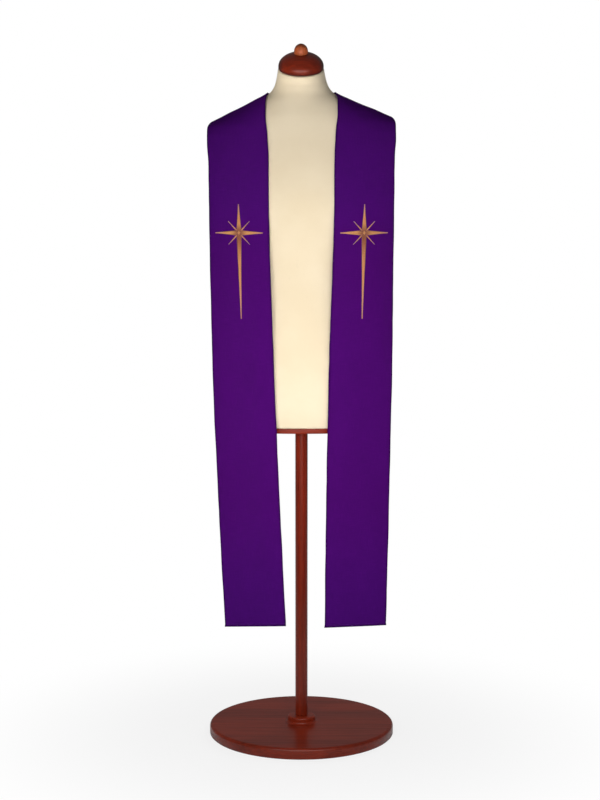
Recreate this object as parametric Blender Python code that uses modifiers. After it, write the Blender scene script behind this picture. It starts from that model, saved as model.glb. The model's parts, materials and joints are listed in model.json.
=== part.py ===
"""A clerical stole hanging on a limbless tailor's dress form.

Metres, +Z up. The front of the form faces -Y. The origin is on the floor under the pole.

The stole is two mirrored strips joined at the centre of the back. Each strip hangs straight down
in front, climbs the chest, crosses the shoulder and turns round the nape to the seam. The strips
lie on one smooth body of elliptical sections, the drape, which is a little larger than the form.
"""

from collections import namedtuple
from math import cos, pi, radians, sin

import bmesh
import bpy
import numpy as np
from mathutils import Matrix

# Cloth
STOLE_WALL = 0.002  # two layers of cloth and an interlining
STOLE_WIDTH = 0.153  # across the strip, along the cloth
SEAM_HALF_GAP = 0.0003  # each half stops this far from the centre plane
HEM_Z = 0.288
CHEST_Z = 1.300  # below this the strips hang free
TIP_RADIUS = 0.024  # rounding of the outer edge where it comes down off the shoulder
TIP_Z = 1.494  # where the outer edge crosses the top of the shoulder
TIP_INSET = 0.0135  # how far the outer edge draws in there
TIP_SLOPE = radians(24)  # slope of the shoulder line there
SEAM_TOP_Z = 1.543  # nape end of the centre-back seam
SEAM_DROP = 0.150  # height of the seam
BACK_FALL = 1.8  # the lines drop slowly off the shoulder and faster towards the seam
HEM_INNER_Y = -0.118
HEM_OUTER_Y = -0.080
HEM_CROWN = 0.002  # how far the middle of the hem stands out from a straight line
HEM_SKEW_REACH = 0.300  # the hem's slope fades out over this height

# Grid of each strip
CELLS_ACROSS = 10
CELLS_HANG = 15
CELLS_FRONT = 13
CELLS_BACK = 14
HALVINGS = 40  # steps in the search for the shoulder line

# The shoulders lean: the right one is a little higher, and the neck and the chest are level.
LEAN = 0.028  # rise across the shoulders for each metre sideways
LEAN_FROM_Z = 1.300
LEAN_FULL_Z = 1.420
LEAN_FADE_Z = 1.500
LEAN_TO_Z = 1.580

# Cross on each strip
CROSS_Z = 1.2255  # height of the crossing
CROSS_LIFT = 0.0003  # clear of the cloth
CROSS_WALL = 0.0008
CROSS_ROOT = 0.0085  # from the crossing to where an arm begins
ARM_ROOT = 0.0058  # half-widths of an arm at the crossing and at its tip
ARM_TIP = 0.0010
ARM_TAPER = 1.2  # power of the taper, 1 for straight sides and more for hollow ones
RAY_TIP = 0.0005
RAY_LENGTH = 0.028
RAY_STEPS = 3

# Form and stand
FORM_POINTS = 48
WAIST_Z = 1.110
SHOULDER_Z = 1.440
NECK_Z = 1.560
HIP_RINGS = 7
CHEST_RINGS = 8
SHOULDER_RINGS = 14  # close together, because the shoulders rise gently
NECK_RINGS = 5
SHARP_ANGLE = radians(40)
NECK_TILT = radians(24)
NECK_TILT_FROM_Z = 1.550
NECK_ASIDE = -0.0012  # the neck leans a little to the left
CAP_GAP = 0.0004
CAP_RADIUS = 0.0536
CAP_RIM_HEIGHT = 0.0056
CAP_FOOT_RADIUS = 0.0524
CAP_HEIGHT = 0.0371
CAP_FULLNESS = 2.09  # power of the dome's curve, 2 for an ellipse
CAP_FLAT_RADIUS = 0.0135
KNOB_RADIUS = 0.0165
KNOB_RISE = 0.0182  # from the middle of the knob to its top, a little more than a ball's
KNOB_SINK = 0.0130  # how much of the knob is cut away below
PLATE_THICKNESS = 0.012
PLATE_INSET = 0.004
POLE_RADIUS = 0.015
BASE_RADIUS = 0.225
BASE_THICKNESS = 0.026
BASE_EDGE = 0.008
BOSS_RADIUS = 0.034
BOSS_HEIGHT = 0.016
BOSS_EDGE = 0.004
BOSS_FILLET = 0.006
FOOT_CHAMFER = 0.002
TOUCH_GAP = 0.0003
CAP_STEPS = 40
BASE_STEPS = 64

# Sections are superellipses: half-width, depth to the front and to the back of centre_y,
# and an exponent, 2 for an ellipse and more for a squarer shape.
Section = namedtuple("Section", "z half_width front back centre_y power")

# The drape carries the middle of the cloth's wall. Its half-width draws the shoulder line.
DRAPE = [
    Section(1.3000, 0.2664, 0.1260, 0.1240, 0.000, 2.0),
    Section(1.3700, 0.2700, 0.1200, 0.1190, 0.000, 2.0),
    Section(1.4200, 0.2720, 0.1115, 0.1110, 0.000, 2.0),
    Section(1.4500, 0.2680, 0.1035, 0.1045, 0.000, 2.0),
    Section(1.4750, 0.2450, 0.0965, 0.0970, 0.000, 2.0),
    Section(1.4950, 0.2030, 0.0900, 0.0900, 0.000, 2.0),
    Section(1.5157, 0.1573, 0.0830, 0.0800, 0.002, 2.0),
    Section(1.5370, 0.1129, 0.0740, 0.0700, 0.004, 2.0),
    Section(1.5545, 0.0800, 0.0660, 0.0620, 0.006, 2.0),
    Section(1.5700, 0.0690, 0.0610, 0.0580, 0.004, 2.0),
]

FORM = [
    Section(0.7650, 0.1660, 0.1040, 0.1100, 0.000, 2.4),
    Section(0.8000, 0.1750, 0.1095, 0.1190, 0.000, 2.4),
    Section(0.8700, 0.1780, 0.1110, 0.1230, 0.000, 2.4),
    Section(0.9600, 0.1690, 0.1060, 0.1140, 0.000, 2.4),
    Section(1.0500, 0.1520, 0.1000, 0.0970, 0.000, 2.4),
    Section(1.1100, 0.1470, 0.0990, 0.0900, 0.000, 2.4),
    Section(1.1800, 0.1560, 0.1070, 0.0950, 0.000, 2.5),
    Section(1.2500, 0.1730, 0.1175, 0.1080, 0.000, 2.5),
    Section(1.3000, 0.1850, 0.1225, 0.1180, 0.000, 2.5),
    Section(1.3600, 0.1970, 0.1180, 0.1175, 0.000, 2.3),
    Section(1.4100, 0.2080, 0.1100, 0.1100, 0.000, 2.1),
    Section(1.4450, 0.2140, 0.1015, 0.1025, 0.000, 2.0),
    Section(1.4650, 0.2150, 0.0960, 0.0965, 0.000, 2.0),
    Section(1.4800, 0.2090, 0.0915, 0.0915, 0.000, 2.0),
    Section(1.4940, 0.1910, 0.0865, 0.0865, 0.000, 2.0),
    Section(1.5125, 0.1550, 0.0800, 0.0775, 0.002, 2.0),
    Section(1.5340, 0.1100, 0.0710, 0.0675, 0.004, 2.0),
    Section(1.5500, 0.0795, 0.0640, 0.0600, 0.005, 2.0),
    Section(1.5650, 0.0660, 0.0585, 0.0560, 0.002, 2.0),
    Section(1.5830, 0.0592, 0.0555, 0.0535, 0.0000, 2.0),
    Section(1.6088, 0.0540, 0.0525, 0.0525, -0.0073, 2.0),
]

# Edges of a strip in front: distances of its inner and outer edge from the centre plane,
# before the outer edge is rounded off over the shoulder.
Edge = namedtuple("Edge", "z inner outer")

SHOULDER_EDGES = [
    Edge(1.3000, 0.0757, 0.2170),
    Edge(1.3940, 0.0762, 0.2180),
    Edge(1.4400, 0.0786, 0.2212),
    Edge(1.4630, 0.0800, 0.2212),
    Edge(1.4950, 0.0835, 0.2212),
    Edge(1.5300, 0.0840, 0.2212),
    Edge(1.5600, 0.0785, 0.2212),
]
LEFT_HANG_EDGES = [
    Edge(0.288, 0.0367, 0.1837),
    Edge(0.600, 0.0516, 0.1987),
    Edge(0.930, 0.0651, 0.2110),
]
RIGHT_HANG_EDGES = [
    Edge(0.288, 0.0550, 0.2030),
    Edge(0.600, 0.0582, 0.2090),
    Edge(0.930, 0.0645, 0.2145),
]

# How far a hem's outer corner hangs below its inner one, and the strip's edges.
Side = namedtuple("Side", "name sign hem_drop edges")
SIDES = [
    Side("left", -1, 0.0107, LEFT_HANG_EDGES + SHOULDER_EDGES),
    Side("right", 1, 0.0028, RIGHT_HANG_EDGES + SHOULDER_EDGES),
]

# Arms of the cross: direction across and up the strip, length, and steps along the arm.
Arm = namedtuple("Arm", "across up length steps")
ARMS = [
    Arm(0, 1, 0.066, 5),
    Arm(1, 0, 0.060, 5),
    Arm(0, -1, 0.200, 11),
    Arm(-1, 0, 0.060, 5),
]


# Curves and tables


def flow(at, knots, values):
    """A smooth curve through the knots that never overshoots them (monotone cubic)."""
    at = np.clip(np.asarray(at, float), knots[0], knots[-1])
    step = np.diff(knots)
    slope = np.diff(values) / step
    tangent = np.zeros(len(knots))
    same_way = slope[:-1] * slope[1:] > 0
    before = 2 * step[1:] + step[:-1]
    after = step[1:] + 2 * step[:-1]
    safe = np.where(same_way, slope[:-1], 1), np.where(same_way, slope[1:], 1)
    mean = (before + after) / (before / safe[0] + after / safe[1])
    tangent[1:-1] = np.where(same_way, mean, 0)
    tangent[0], tangent[-1] = slope[0], slope[-1]
    cell = np.clip(np.searchsorted(knots, at, side="right") - 1, 0, len(step) - 1)
    width = step[cell]
    u = (at - knots[cell]) / width
    near = (1 + 2 * u) * (1 - u) ** 2 * values[cell] + u * (1 - u) ** 2 * width * tangent[cell]
    far = u**2 * (3 - 2 * u) * values[cell + 1] - u**2 * (1 - u) * width * tangent[cell + 1]
    return near + far


def read(table, column, z):
    """A column of a table at the heights z."""
    knots = np.array([row.z for row in table])
    values = np.array([getattr(row, column) for row in table])
    return flow(z, knots, values)


def smooth_step(u):
    u = np.clip(u, 0, 1)
    return u * u * (3 - 2 * u)


def lean(points):
    """Raises the right shoulder and lowers the left one, cloth and form alike."""
    z = points[..., 2]
    gain = smooth_step((z - LEAN_FROM_Z) / (LEAN_FULL_Z - LEAN_FROM_Z))
    fade = 1 - smooth_step((z - LEAN_FADE_Z) / (LEAN_TO_Z - LEAN_FADE_Z))
    leant = points.copy()
    leant[..., 2] = z + LEAN * points[..., 0] * gain * fade
    return leant


# The cloth's middle surface


def strip_x(side, t, z):
    """Distance from the centre plane of the line t (0 inner edge, 1 outer edge) at height z."""
    arc_centre_z = TIP_Z - TIP_RADIUS * cos(TIP_SLOPE)
    rise = np.clip(z - arc_centre_z, 0, TIP_RADIUS)
    rounding = TIP_RADIUS - np.sqrt(TIP_RADIUS**2 - rise**2)
    inner = read(side.edges, "inner", z)
    outer = read(side.edges, "outer", z) - np.minimum(rounding, TIP_INSET)
    return inner + (outer - inner) * t


def ridge_z(side, t):
    """Height where the line t crosses the top of the shoulder, by halving the interval."""
    low = np.full_like(t, DRAPE[3].z)
    high = np.full_like(t, DRAPE[-1].z)
    for _ in range(HALVINGS):
        middle = (low + high) / 2
        inside = read(DRAPE, "half_width", middle) > strip_x(side, t, middle)
        low = np.where(inside, middle, low)
        high = np.where(inside, high, middle)
    return (low + high) / 2


def drape_y(x, z, depth_column, sign):
    """The drape's front (sign -1) or back (sign 1) at x and z."""
    share = np.clip(x / read(DRAPE, "half_width", z), 0, 1)
    depth = read(DRAPE, depth_column, z)
    return read(DRAPE, "centre_y", z) + sign * depth * np.sqrt(1 - share**2)


def hem_skew(side, t, z):
    """How far a level line of the hanging cloth rises at t: the hem's slope, faded out upwards."""
    return -side.hem_drop * (t - 0.5) * (1 - smooth_step((z - HEM_Z) / HEM_SKEW_REACH))


def hang_points(side, t, z):
    """Points of the free hanging stretch, on the line t at height z."""
    x = strip_x(side, t, z)
    chest = drape_y(strip_x(side, t, np.full_like(z, CHEST_Z)), np.full_like(z, CHEST_Z), "front", -1)
    hem = HEM_INNER_Y + (HEM_OUTER_Y - HEM_INNER_Y) * t - HEM_CROWN * 4 * t * (1 - t)
    settle = smooth_step((CHEST_Z - z) / (CHEST_Z - HEM_Z))
    return np.stack([side.sign * x, chest + (hem - chest) * settle, z], axis=-1)


def front_points(side, t, p):
    """Points from the chest (p = 1) up to the top of the shoulder (p = 0)."""
    top = ridge_z(side, t)
    z = top - (top - CHEST_Z) * (1 - np.cos(p * pi / 2))
    x = strip_x(side, t, z)
    return np.stack([side.sign * x, drape_y(x, z, "front", -1), z], axis=-1)


def back_points(side, t, v):
    """Points from the top of the shoulder (v = 0) round the nape to the back seam (v = 1)."""
    top = ridge_z(side, t)
    seam = SEAM_TOP_Z - SEAM_DROP * t
    z = top + (seam - top) * v**BACK_FALL
    x = read(DRAPE, "half_width", z) * np.cos(v * pi / 2)
    x = np.maximum(x, SEAM_HALF_GAP)
    return np.stack([side.sign * x, drape_y(x, z, "back", 1), z], axis=-1)


def strip_grid(side):
    """The whole strip as a grid of rows from the hem to the back seam."""
    t = np.linspace(0, 1, CELLS_ACROSS + 1)
    hang_z = np.linspace(HEM_Z, CHEST_Z, CELLS_HANG + 1)[:-1]
    rows = [hang_points(side, t, z + hem_skew(side, t, z)) for z in hang_z]
    rows += [front_points(side, t, p) for p in np.linspace(1, 0, CELLS_FRONT + 1)[:-1]]
    rows += [back_points(side, t, v) for v in np.linspace(0, 1, CELLS_BACK + 1)]
    return lean(np.array(rows))


# Objects


def new_collection(name):
    made = bpy.data.collections.new(name)
    bpy.context.scene.collection.children.link(made)
    return made


def new_material(name, colour, roughness, metallic=0.0):
    made = bpy.data.materials.new(name)
    made.use_nodes = True
    made.diffuse_color = (*colour, 1)
    shader = made.node_tree.nodes["Principled BSDF"]
    shader.inputs["Base Color"].default_value = (*colour, 1)
    shader.inputs["Roughness"].default_value = roughness
    shader.inputs["Metallic"].default_value = metallic
    return made


def new_object(name, mesh, material, collection):
    made = bpy.data.objects.new(name, mesh)
    mesh.materials.append(material)
    collection.objects.link(made)
    return made


def grid_faces(rows, columns, flip):
    """Quads of a grid with that many points each way."""
    first = np.arange(rows - 1)[:, None] * columns + np.arange(columns - 1)
    quads = np.stack([first, first + 1, first + columns + 1, first + columns], axis=-1).reshape(-1, 4)
    return (quads[:, ::-1] if flip else quads).tolist()


def solidify(made, thickness, offset):
    wall = made.modifiers.new("Wall", "SOLIDIFY")
    wall.thickness = thickness
    wall.offset = offset
    wall.use_even_offset = True
    wall.use_quality_normals = True


def build_strip(side, material, collection):
    grid = strip_grid(side)
    rows, columns = grid.shape[:2]
    mesh = bpy.data.meshes.new(f"stole_{side.name}")
    mesh.from_pydata(grid.reshape(-1, 3).tolist(), [], grid_faces(rows, columns, side.sign < 0))
    mesh.shade_smooth()
    made = new_object(f"stole_{side.name}", mesh, material, collection)
    solidify(made, STOLE_WALL, 0)


def arm_half_width(u):
    """Half-width along a pointed arm, from its root (0) to its tip (1)."""
    return ARM_TIP + (ARM_ROOT - ARM_TIP) * (1 - u) ** ARM_TAPER


def cross_outline_mesh():
    """The flat cross in strip coordinates, across and up, with its centre at the origin.

    An eight-sided centre carries four pointed arms and, between them, four tapering rays.
    """
    points = [(0.0, 0.0)]
    faces = []
    for arm in ARMS:
        along = np.array([arm.across, arm.up], float)
        aside = np.array([-arm.up, arm.across], float)
        for sign in (1, -1):
            points.append(tuple(CROSS_ROOT * along + sign * ARM_ROOT * aside))
    # Corners run round the centre: each arm's two root corners, then the next arm's.
    for index, arm in enumerate(ARMS):
        left, right = 1 + 2 * index, 2 + 2 * index
        next_left = 1 + 2 * ((index + 1) % len(ARMS))
        faces.append((0, right, left))
        faces.append((0, next_left, right))
        along = np.array([arm.across, arm.up], float)
        aside = np.array([-arm.up, arm.across], float)
        previous = (left, right)
        for step in range(1, arm.steps + 1):
            u = step / arm.steps
            reach = CROSS_ROOT + (arm.length - CROSS_ROOT) * u
            half = float(arm_half_width(u))
            points.append(tuple(reach * along + half * aside))
            points.append(tuple(reach * along - half * aside))
            current = (len(points) - 2, len(points) - 1)
            faces.append((previous[0], previous[1], current[1], current[0]))
            previous = current
        # The ray between this arm and the next grows from their neighbouring corners.
        start, finish = np.array(points[right]), np.array(points[next_left])
        root = (start + finish) / 2
        out = root / np.linalg.norm(root)
        edge = (start - finish) / np.linalg.norm(start - finish)
        root_half = np.linalg.norm(start - finish) / 2
        previous = (right, next_left)
        for step in range(1, RAY_STEPS + 1):
            u = step / RAY_STEPS
            half = root_half + (RAY_TIP - root_half) * u
            points.append(tuple(root + RAY_LENGTH * u * out + half * edge))
            points.append(tuple(root + RAY_LENGTH * u * out - half * edge))
            current = (len(points) - 2, len(points) - 1)
            faces.append((previous[0], previous[1], current[1], current[0]))
            previous = current
    return np.array(points), faces


def build_cross(side, material, collection):
    """The cross laid on the strip: its points are the strip's own points, moved out."""
    flat, faces = cross_outline_mesh()
    t = 0.5 + side.sign * flat[:, 0] / STOLE_WIDTH
    z = CROSS_Z + flat[:, 1]
    nudge = 0.001
    across = hang_points(side, t + nudge, z) - hang_points(side, t - nudge, z)
    upward = hang_points(side, t, z + nudge) - hang_points(side, t, z - nudge)
    normal = np.cross(across, upward) * side.sign
    normal /= np.linalg.norm(normal, axis=1, keepdims=True)
    points = hang_points(side, t, z) + normal * (STOLE_WALL / 2 + CROSS_LIFT)
    mesh = bpy.data.meshes.new(f"cross_{side.name}")
    mesh.from_pydata(points.tolist(), [], faces)
    made = new_object(f"cross_{side.name}", mesh, material, collection)
    mesh_out = bmesh.new()
    mesh_out.from_mesh(mesh)
    bmesh.ops.recalc_face_normals(mesh_out, faces=mesh_out.faces)
    mesh_out.faces.ensure_lookup_table()
    if mesh_out.faces[0].normal.y > 0:
        bmesh.ops.reverse_faces(mesh_out, faces=mesh_out.faces)
    mesh_out.to_mesh(mesh)
    mesh_out.free()
    solidify(made, CROSS_WALL, 1)


def form_ring(z):
    """One section of the form at height z, tilted forward towards the neck's top."""
    angle = np.linspace(0, 2 * pi, FORM_POINTS, endpoint=False)
    power = 2 / read(FORM, "power", z)
    x = read(FORM, "half_width", z) * np.sign(np.cos(angle)) * np.abs(np.cos(angle)) ** power
    depth = np.where(np.sin(angle) < 0, read(FORM, "front", z), read(FORM, "back", z))
    y = depth * np.sign(np.sin(angle)) * np.abs(np.sin(angle)) ** power
    share = smooth_step((z - NECK_TILT_FROM_Z) / (FORM[-1].z - NECK_TILT_FROM_Z))
    height = z + y * np.tan(NECK_TILT * share)
    return lean(np.stack([x + NECK_ASIDE * share, y + read(FORM, "centre_y", z), height], axis=-1))


def loft(name, rings, material, collection):
    """A closed solid through rings of equal counts, listed upwards, with flat ends."""
    count = len(rings[0])
    points = np.concatenate(rings)
    faces = []
    for level in range(len(rings) - 1):
        for index in range(count):
            here = level * count + index
            beside = level * count + (index + 1) % count
            faces.append((here, beside, beside + count, here + count))
    last = (len(rings) - 1) * count
    faces.append(tuple(range(count))[::-1])
    faces.append(tuple(range(last, last + count)))
    mesh = bpy.data.meshes.new(name)
    mesh.from_pydata(points.tolist(), [], faces)
    mesh.shade_smooth()
    mesh.set_sharp_from_angle(angle=SHARP_ANGLE)
    return new_object(name, mesh, material, collection)


def build_form(cover, wood, collection):
    levels = np.concatenate([
        np.linspace(FORM[0].z, WAIST_Z, HIP_RINGS, endpoint=False),
        np.linspace(WAIST_Z, SHOULDER_Z, CHEST_RINGS, endpoint=False),
        np.linspace(SHOULDER_Z, NECK_Z, SHOULDER_RINGS, endpoint=False),
        np.linspace(NECK_Z, FORM[-1].z, NECK_RINGS),
    ])
    loft("form_torso", [form_ring(z) for z in levels], cover, collection)
    outline = form_ring(FORM[0].z)
    outline[:, :2] *= 1 - PLATE_INSET / FORM[0].half_width
    top = outline.copy()
    top[:, 2] = FORM[0].z - TOUCH_GAP
    bottom = top.copy()
    bottom[:, 2] -= PLATE_THICKNESS
    loft("form_plate", [bottom, top], wood, collection)


def turned(name, profile, steps, material, collection, place=None):
    """A turned solid: a profile of (radius, height), listed from its top down, round +Z."""
    mesh = bpy.data.meshes.new(name)
    edges = [(index, index + 1) for index in range(len(profile) - 1)]
    mesh.from_pydata([(radius, 0, height) for radius, height in profile], edges, [])
    made = new_object(name, mesh, material, collection)
    screw = made.modifiers.new("Turn", "SCREW")
    screw.angle = 2 * pi
    screw.steps = steps
    screw.render_steps = steps
    screw.use_merge_vertices = True
    screw.merge_threshold = 0.00001
    screw.use_smooth_shade = True
    if place is not None:
        made.matrix_world = place
    return made


def arc(centre, radii, start, stop, steps):
    """Points of an elliptical arc; angles in degrees, 0 outwards and 90 upwards."""
    turn = [radians(start + (stop - start) * index / steps) for index in range(steps + 1)]
    return [(centre[0] + radii[0] * cos(a), centre[1] + radii[1] * sin(a)) for a in turn]


def dome(foot, radius, rise, flat_radius, steps):
    """Points down a dome's side, from its flat top to its widest ring at the foot height."""
    start = np.arccos((flat_radius / radius) ** (CAP_FULLNESS / 2))
    turn = [start * (1 - index / steps) for index in range(steps + 1)]
    power = 2 / CAP_FULLNESS
    return [(radius * cos(a) ** power, foot + rise * sin(a) ** power) for a in turn]


def build_cap(wood, knob_wood, collection):
    """The turned cap on the neck's sloping top, and the round knob on it."""
    neck_top = Matrix.Translation((NECK_ASIDE, FORM[-1].centre_y, FORM[-1].z))
    seat = neck_top @ Matrix.Rotation(NECK_TILT, 4, "X") @ Matrix.Translation((0, 0, CAP_GAP))
    flat_share = 1 - (CAP_FLAT_RADIUS / CAP_RADIUS) ** CAP_FULLNESS
    dome_rise = (CAP_HEIGHT - CAP_RIM_HEIGHT) / flat_share ** (1 / CAP_FULLNESS)
    profile = [(0.0, CAP_HEIGHT)]
    profile += dome(CAP_RIM_HEIGHT, CAP_RADIUS, dome_rise, CAP_FLAT_RADIUS, 12)
    foot_round = (CAP_RADIUS - CAP_FOOT_RADIUS, CAP_RIM_HEIGHT)
    profile += arc((CAP_FOOT_RADIUS, CAP_RIM_HEIGHT), foot_round, -18, -90, 4)
    profile += [(0.0, 0.0)]
    turned("neck_cap", profile, CAP_STEPS, wood, collection, seat)
    centre = KNOB_RISE - KNOB_SINK
    cut_angle = -np.degrees(np.arcsin(centre / KNOB_RISE))
    ball = arc((0, centre), (KNOB_RADIUS, KNOB_RISE), 90, cut_angle, 14)
    ball[0] = (0.0, ball[0][1])
    ball += [(0.0, 0.0)]
    on_cap = seat @ Matrix.Translation((0, 0, CAP_HEIGHT + TOUCH_GAP))
    turned("cap_knob", ball, CAP_STEPS, knob_wood, collection, on_cap)


def build_stand(wood, collection):
    boss_top = BASE_THICKNESS + BOSS_HEIGHT
    profile = [(0.0, boss_top)]
    profile += arc((BOSS_RADIUS - BOSS_EDGE, boss_top - BOSS_EDGE), (BOSS_EDGE, BOSS_EDGE), 90, 0, 4)
    hollow = (BOSS_RADIUS + BOSS_FILLET, BASE_THICKNESS + BOSS_FILLET)
    profile += arc(hollow, (BOSS_FILLET, BOSS_FILLET), 180, 270, 4)
    top_edge = BASE_THICKNESS - BASE_EDGE
    profile += arc((BASE_RADIUS - BASE_EDGE, top_edge), (BASE_EDGE, BASE_EDGE), 90, 0, 6)
    profile += [(BASE_RADIUS, FOOT_CHAMFER), (BASE_RADIUS - FOOT_CHAMFER, 0.0), (0.0, 0.0)]
    turned("stand_base", profile, BASE_STEPS, wood, collection)
    bottom = boss_top + TOUCH_GAP
    top = FORM[0].z - TOUCH_GAP - PLATE_THICKNESS - TOUCH_GAP
    bpy.ops.mesh.primitive_cylinder_add(
        vertices=BASE_STEPS // 2, radius=POLE_RADIUS, depth=top - bottom, location=(0, 0, (top + bottom) / 2)
    )
    pole = bpy.context.object
    pole.name = "stand_pole"
    pole.data.name = "stand_pole"
    pole.data.materials.append(wood)
    pole.data.shade_smooth()
    pole.data.set_sharp_from_angle(angle=SHARP_ANGLE)
    for holder in list(pole.users_collection):
        holder.objects.unlink(pole)
    collection.objects.link(pole)


def main():
    for old in list(bpy.data.objects):
        bpy.data.objects.remove(old, do_unlink=True)
    collection = new_collection("clerical_stole_on_form")
    cloth = new_material("violet_cloth", (0.065, 0.004, 0.150), 0.85)
    gold = new_material("gold_thread", (0.62, 0.30, 0.09), 0.45, 0.3)
    cover = new_material("cream_cover", (0.78, 0.68, 0.46), 0.9)
    mahogany = new_material("varnished_mahogany", (0.13, 0.018, 0.008), 0.25)
    light_wood = new_material("knob_wood", (0.30, 0.085, 0.030), 0.3)
    for side in SIDES:
        build_strip(side, cloth, collection)
        build_cross(side, gold, collection)
    build_form(cover, mahogany, collection)
    build_cap(mahogany, light_wood, collection)
    build_stand(mahogany, collection)


main()
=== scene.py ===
"""A violet clerical stole with gold crosses, hanging on a tailor's dress form.

Metres, +Z up, the front faces -Y. The stole is two bands joined at the centre of the back. Every
surface is a grid of points worked out from two parameters. The tables of sections are the ones
that the solid model was lofted through, so each shape lies where its solid does.
"""

import json
from collections import namedtuple
from math import cos, pi, radians, sin, sqrt, tan

import bmesh
import bpy
import numpy as np
from bpy.props import FloatProperty, FloatVectorProperty, IntProperty, PointerProperty
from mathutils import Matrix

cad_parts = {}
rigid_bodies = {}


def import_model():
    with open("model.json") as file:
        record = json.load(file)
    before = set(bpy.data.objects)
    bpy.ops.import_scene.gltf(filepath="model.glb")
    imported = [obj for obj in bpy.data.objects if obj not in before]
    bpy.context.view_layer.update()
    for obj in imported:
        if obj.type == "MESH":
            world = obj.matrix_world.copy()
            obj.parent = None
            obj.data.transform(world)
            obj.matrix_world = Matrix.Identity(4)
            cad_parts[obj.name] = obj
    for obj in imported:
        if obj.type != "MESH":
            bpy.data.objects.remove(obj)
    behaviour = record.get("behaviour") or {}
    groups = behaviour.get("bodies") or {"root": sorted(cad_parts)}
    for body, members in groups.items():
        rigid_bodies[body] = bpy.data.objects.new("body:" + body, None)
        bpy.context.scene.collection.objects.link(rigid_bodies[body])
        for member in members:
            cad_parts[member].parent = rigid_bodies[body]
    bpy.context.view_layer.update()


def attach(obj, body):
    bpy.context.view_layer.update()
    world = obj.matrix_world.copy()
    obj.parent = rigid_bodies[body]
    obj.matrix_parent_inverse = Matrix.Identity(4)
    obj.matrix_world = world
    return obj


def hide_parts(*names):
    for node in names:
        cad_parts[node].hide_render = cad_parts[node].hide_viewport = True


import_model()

bl_info = {
    "name": "Clerical Stole on a Dress Form",
    "version": (1, 0, 0),
    "blender": (4, 5, 0),
    "location": "View3D > Sidebar > Stole",
    "description": "Builds a violet stole with gold crosses, the form that carries it and a studio",
    "category": "Object",
}

BODY = "root"

# ---------------------------------------------------------------------------------------------
# Fixed shape: the sizes that the solids were built from
# ---------------------------------------------------------------------------------------------

STOLE_WIDTH = 0.153
HEM_Z = 0.288
CHEST_Z = 1.300  # below this the bands hang free
TIP_RADIUS = 0.024  # rounding of the outer edge where it comes down off the shoulder
TIP_Z = 1.494
TIP_INSET = 0.0135
TIP_SLOPE = radians(24)
SEAM_TOP_Z = 1.543
SEAM_DROP = 0.150
BACK_FALL = 1.8
HEM_INNER_Y = -0.118
HEM_OUTER_Y = -0.080
HEM_CROWN = 0.002
HEM_SKEW_REACH = 0.300  # the hem's slope fades out over this height
HALVINGS = 40

LEAN = 0.028  # rise across the shoulders for each metre sideways
LEAN_FROM_Z = 1.300
LEAN_FULL_Z = 1.420
LEAN_FADE_Z = 1.500
LEAN_TO_Z = 1.580

CROSS_Z = 1.2255
CROSS_ROOT = 0.0085  # from the crossing to where an arm begins
ARM_ROOT = 0.0058  # half-widths of an arm at the crossing and at its tip
ARM_TIP = 0.0010
ARM_TAPER = 1.2
RAY_ROOT = (CROSS_ROOT - ARM_ROOT) / sqrt(2)  # half-width of a ray between two arms' corners
RAY_ROOT_AT = (CROSS_ROOT + ARM_ROOT) / sqrt(2)
RAY_TIP = 0.0005
RAY_LENGTH = 0.028

NECK_TILT = radians(24)
NECK_TILT_FROM_Z = 1.550
NECK_ASIDE = -0.0012  # the neck leans a little to the left
CAP_GAP = 0.0004
CAP_RADIUS = 0.0536
CAP_RIM_HEIGHT = 0.0056
CAP_FOOT_RADIUS = 0.0524
CAP_HEIGHT = 0.0371
CAP_FULLNESS = 2.09
CAP_FLAT_RADIUS = 0.0135
KNOB_RADIUS = 0.0165
KNOB_RISE = 0.0182
KNOB_SINK = 0.0130
PLATE_THICKNESS = 0.012
PLATE_INSET = 0.004
POLE_RADIUS = 0.015
BASE_RADIUS = 0.225
BASE_THICKNESS = 0.026
BASE_EDGE = 0.008
BOSS_RADIUS = 0.034
BOSS_HEIGHT = 0.016
BOSS_EDGE = 0.004
BOSS_FILLET = 0.006
FOOT_CHAMFER = 0.002
TOUCH_GAP = 0.0003

# Sections: half-width, depth to the front and to the back of centre_y, and an exponent, 2 for an
# ellipse and more for a squarer shape.
Section = namedtuple("Section", "z half_width front back centre_y power")

DRAPE = [
    Section(1.3000, 0.2664, 0.1260, 0.1240, 0.000, 2.0),
    Section(1.3700, 0.2700, 0.1200, 0.1190, 0.000, 2.0),
    Section(1.4200, 0.2720, 0.1115, 0.1110, 0.000, 2.0),
    Section(1.4500, 0.2680, 0.1035, 0.1045, 0.000, 2.0),
    Section(1.4750, 0.2450, 0.0965, 0.0970, 0.000, 2.0),
    Section(1.4950, 0.2030, 0.0900, 0.0900, 0.000, 2.0),
    Section(1.5157, 0.1573, 0.0830, 0.0800, 0.002, 2.0),
    Section(1.5370, 0.1129, 0.0740, 0.0700, 0.004, 2.0),
    Section(1.5545, 0.0800, 0.0660, 0.0620, 0.006, 2.0),
    Section(1.5700, 0.0690, 0.0610, 0.0580, 0.004, 2.0),
]

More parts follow.
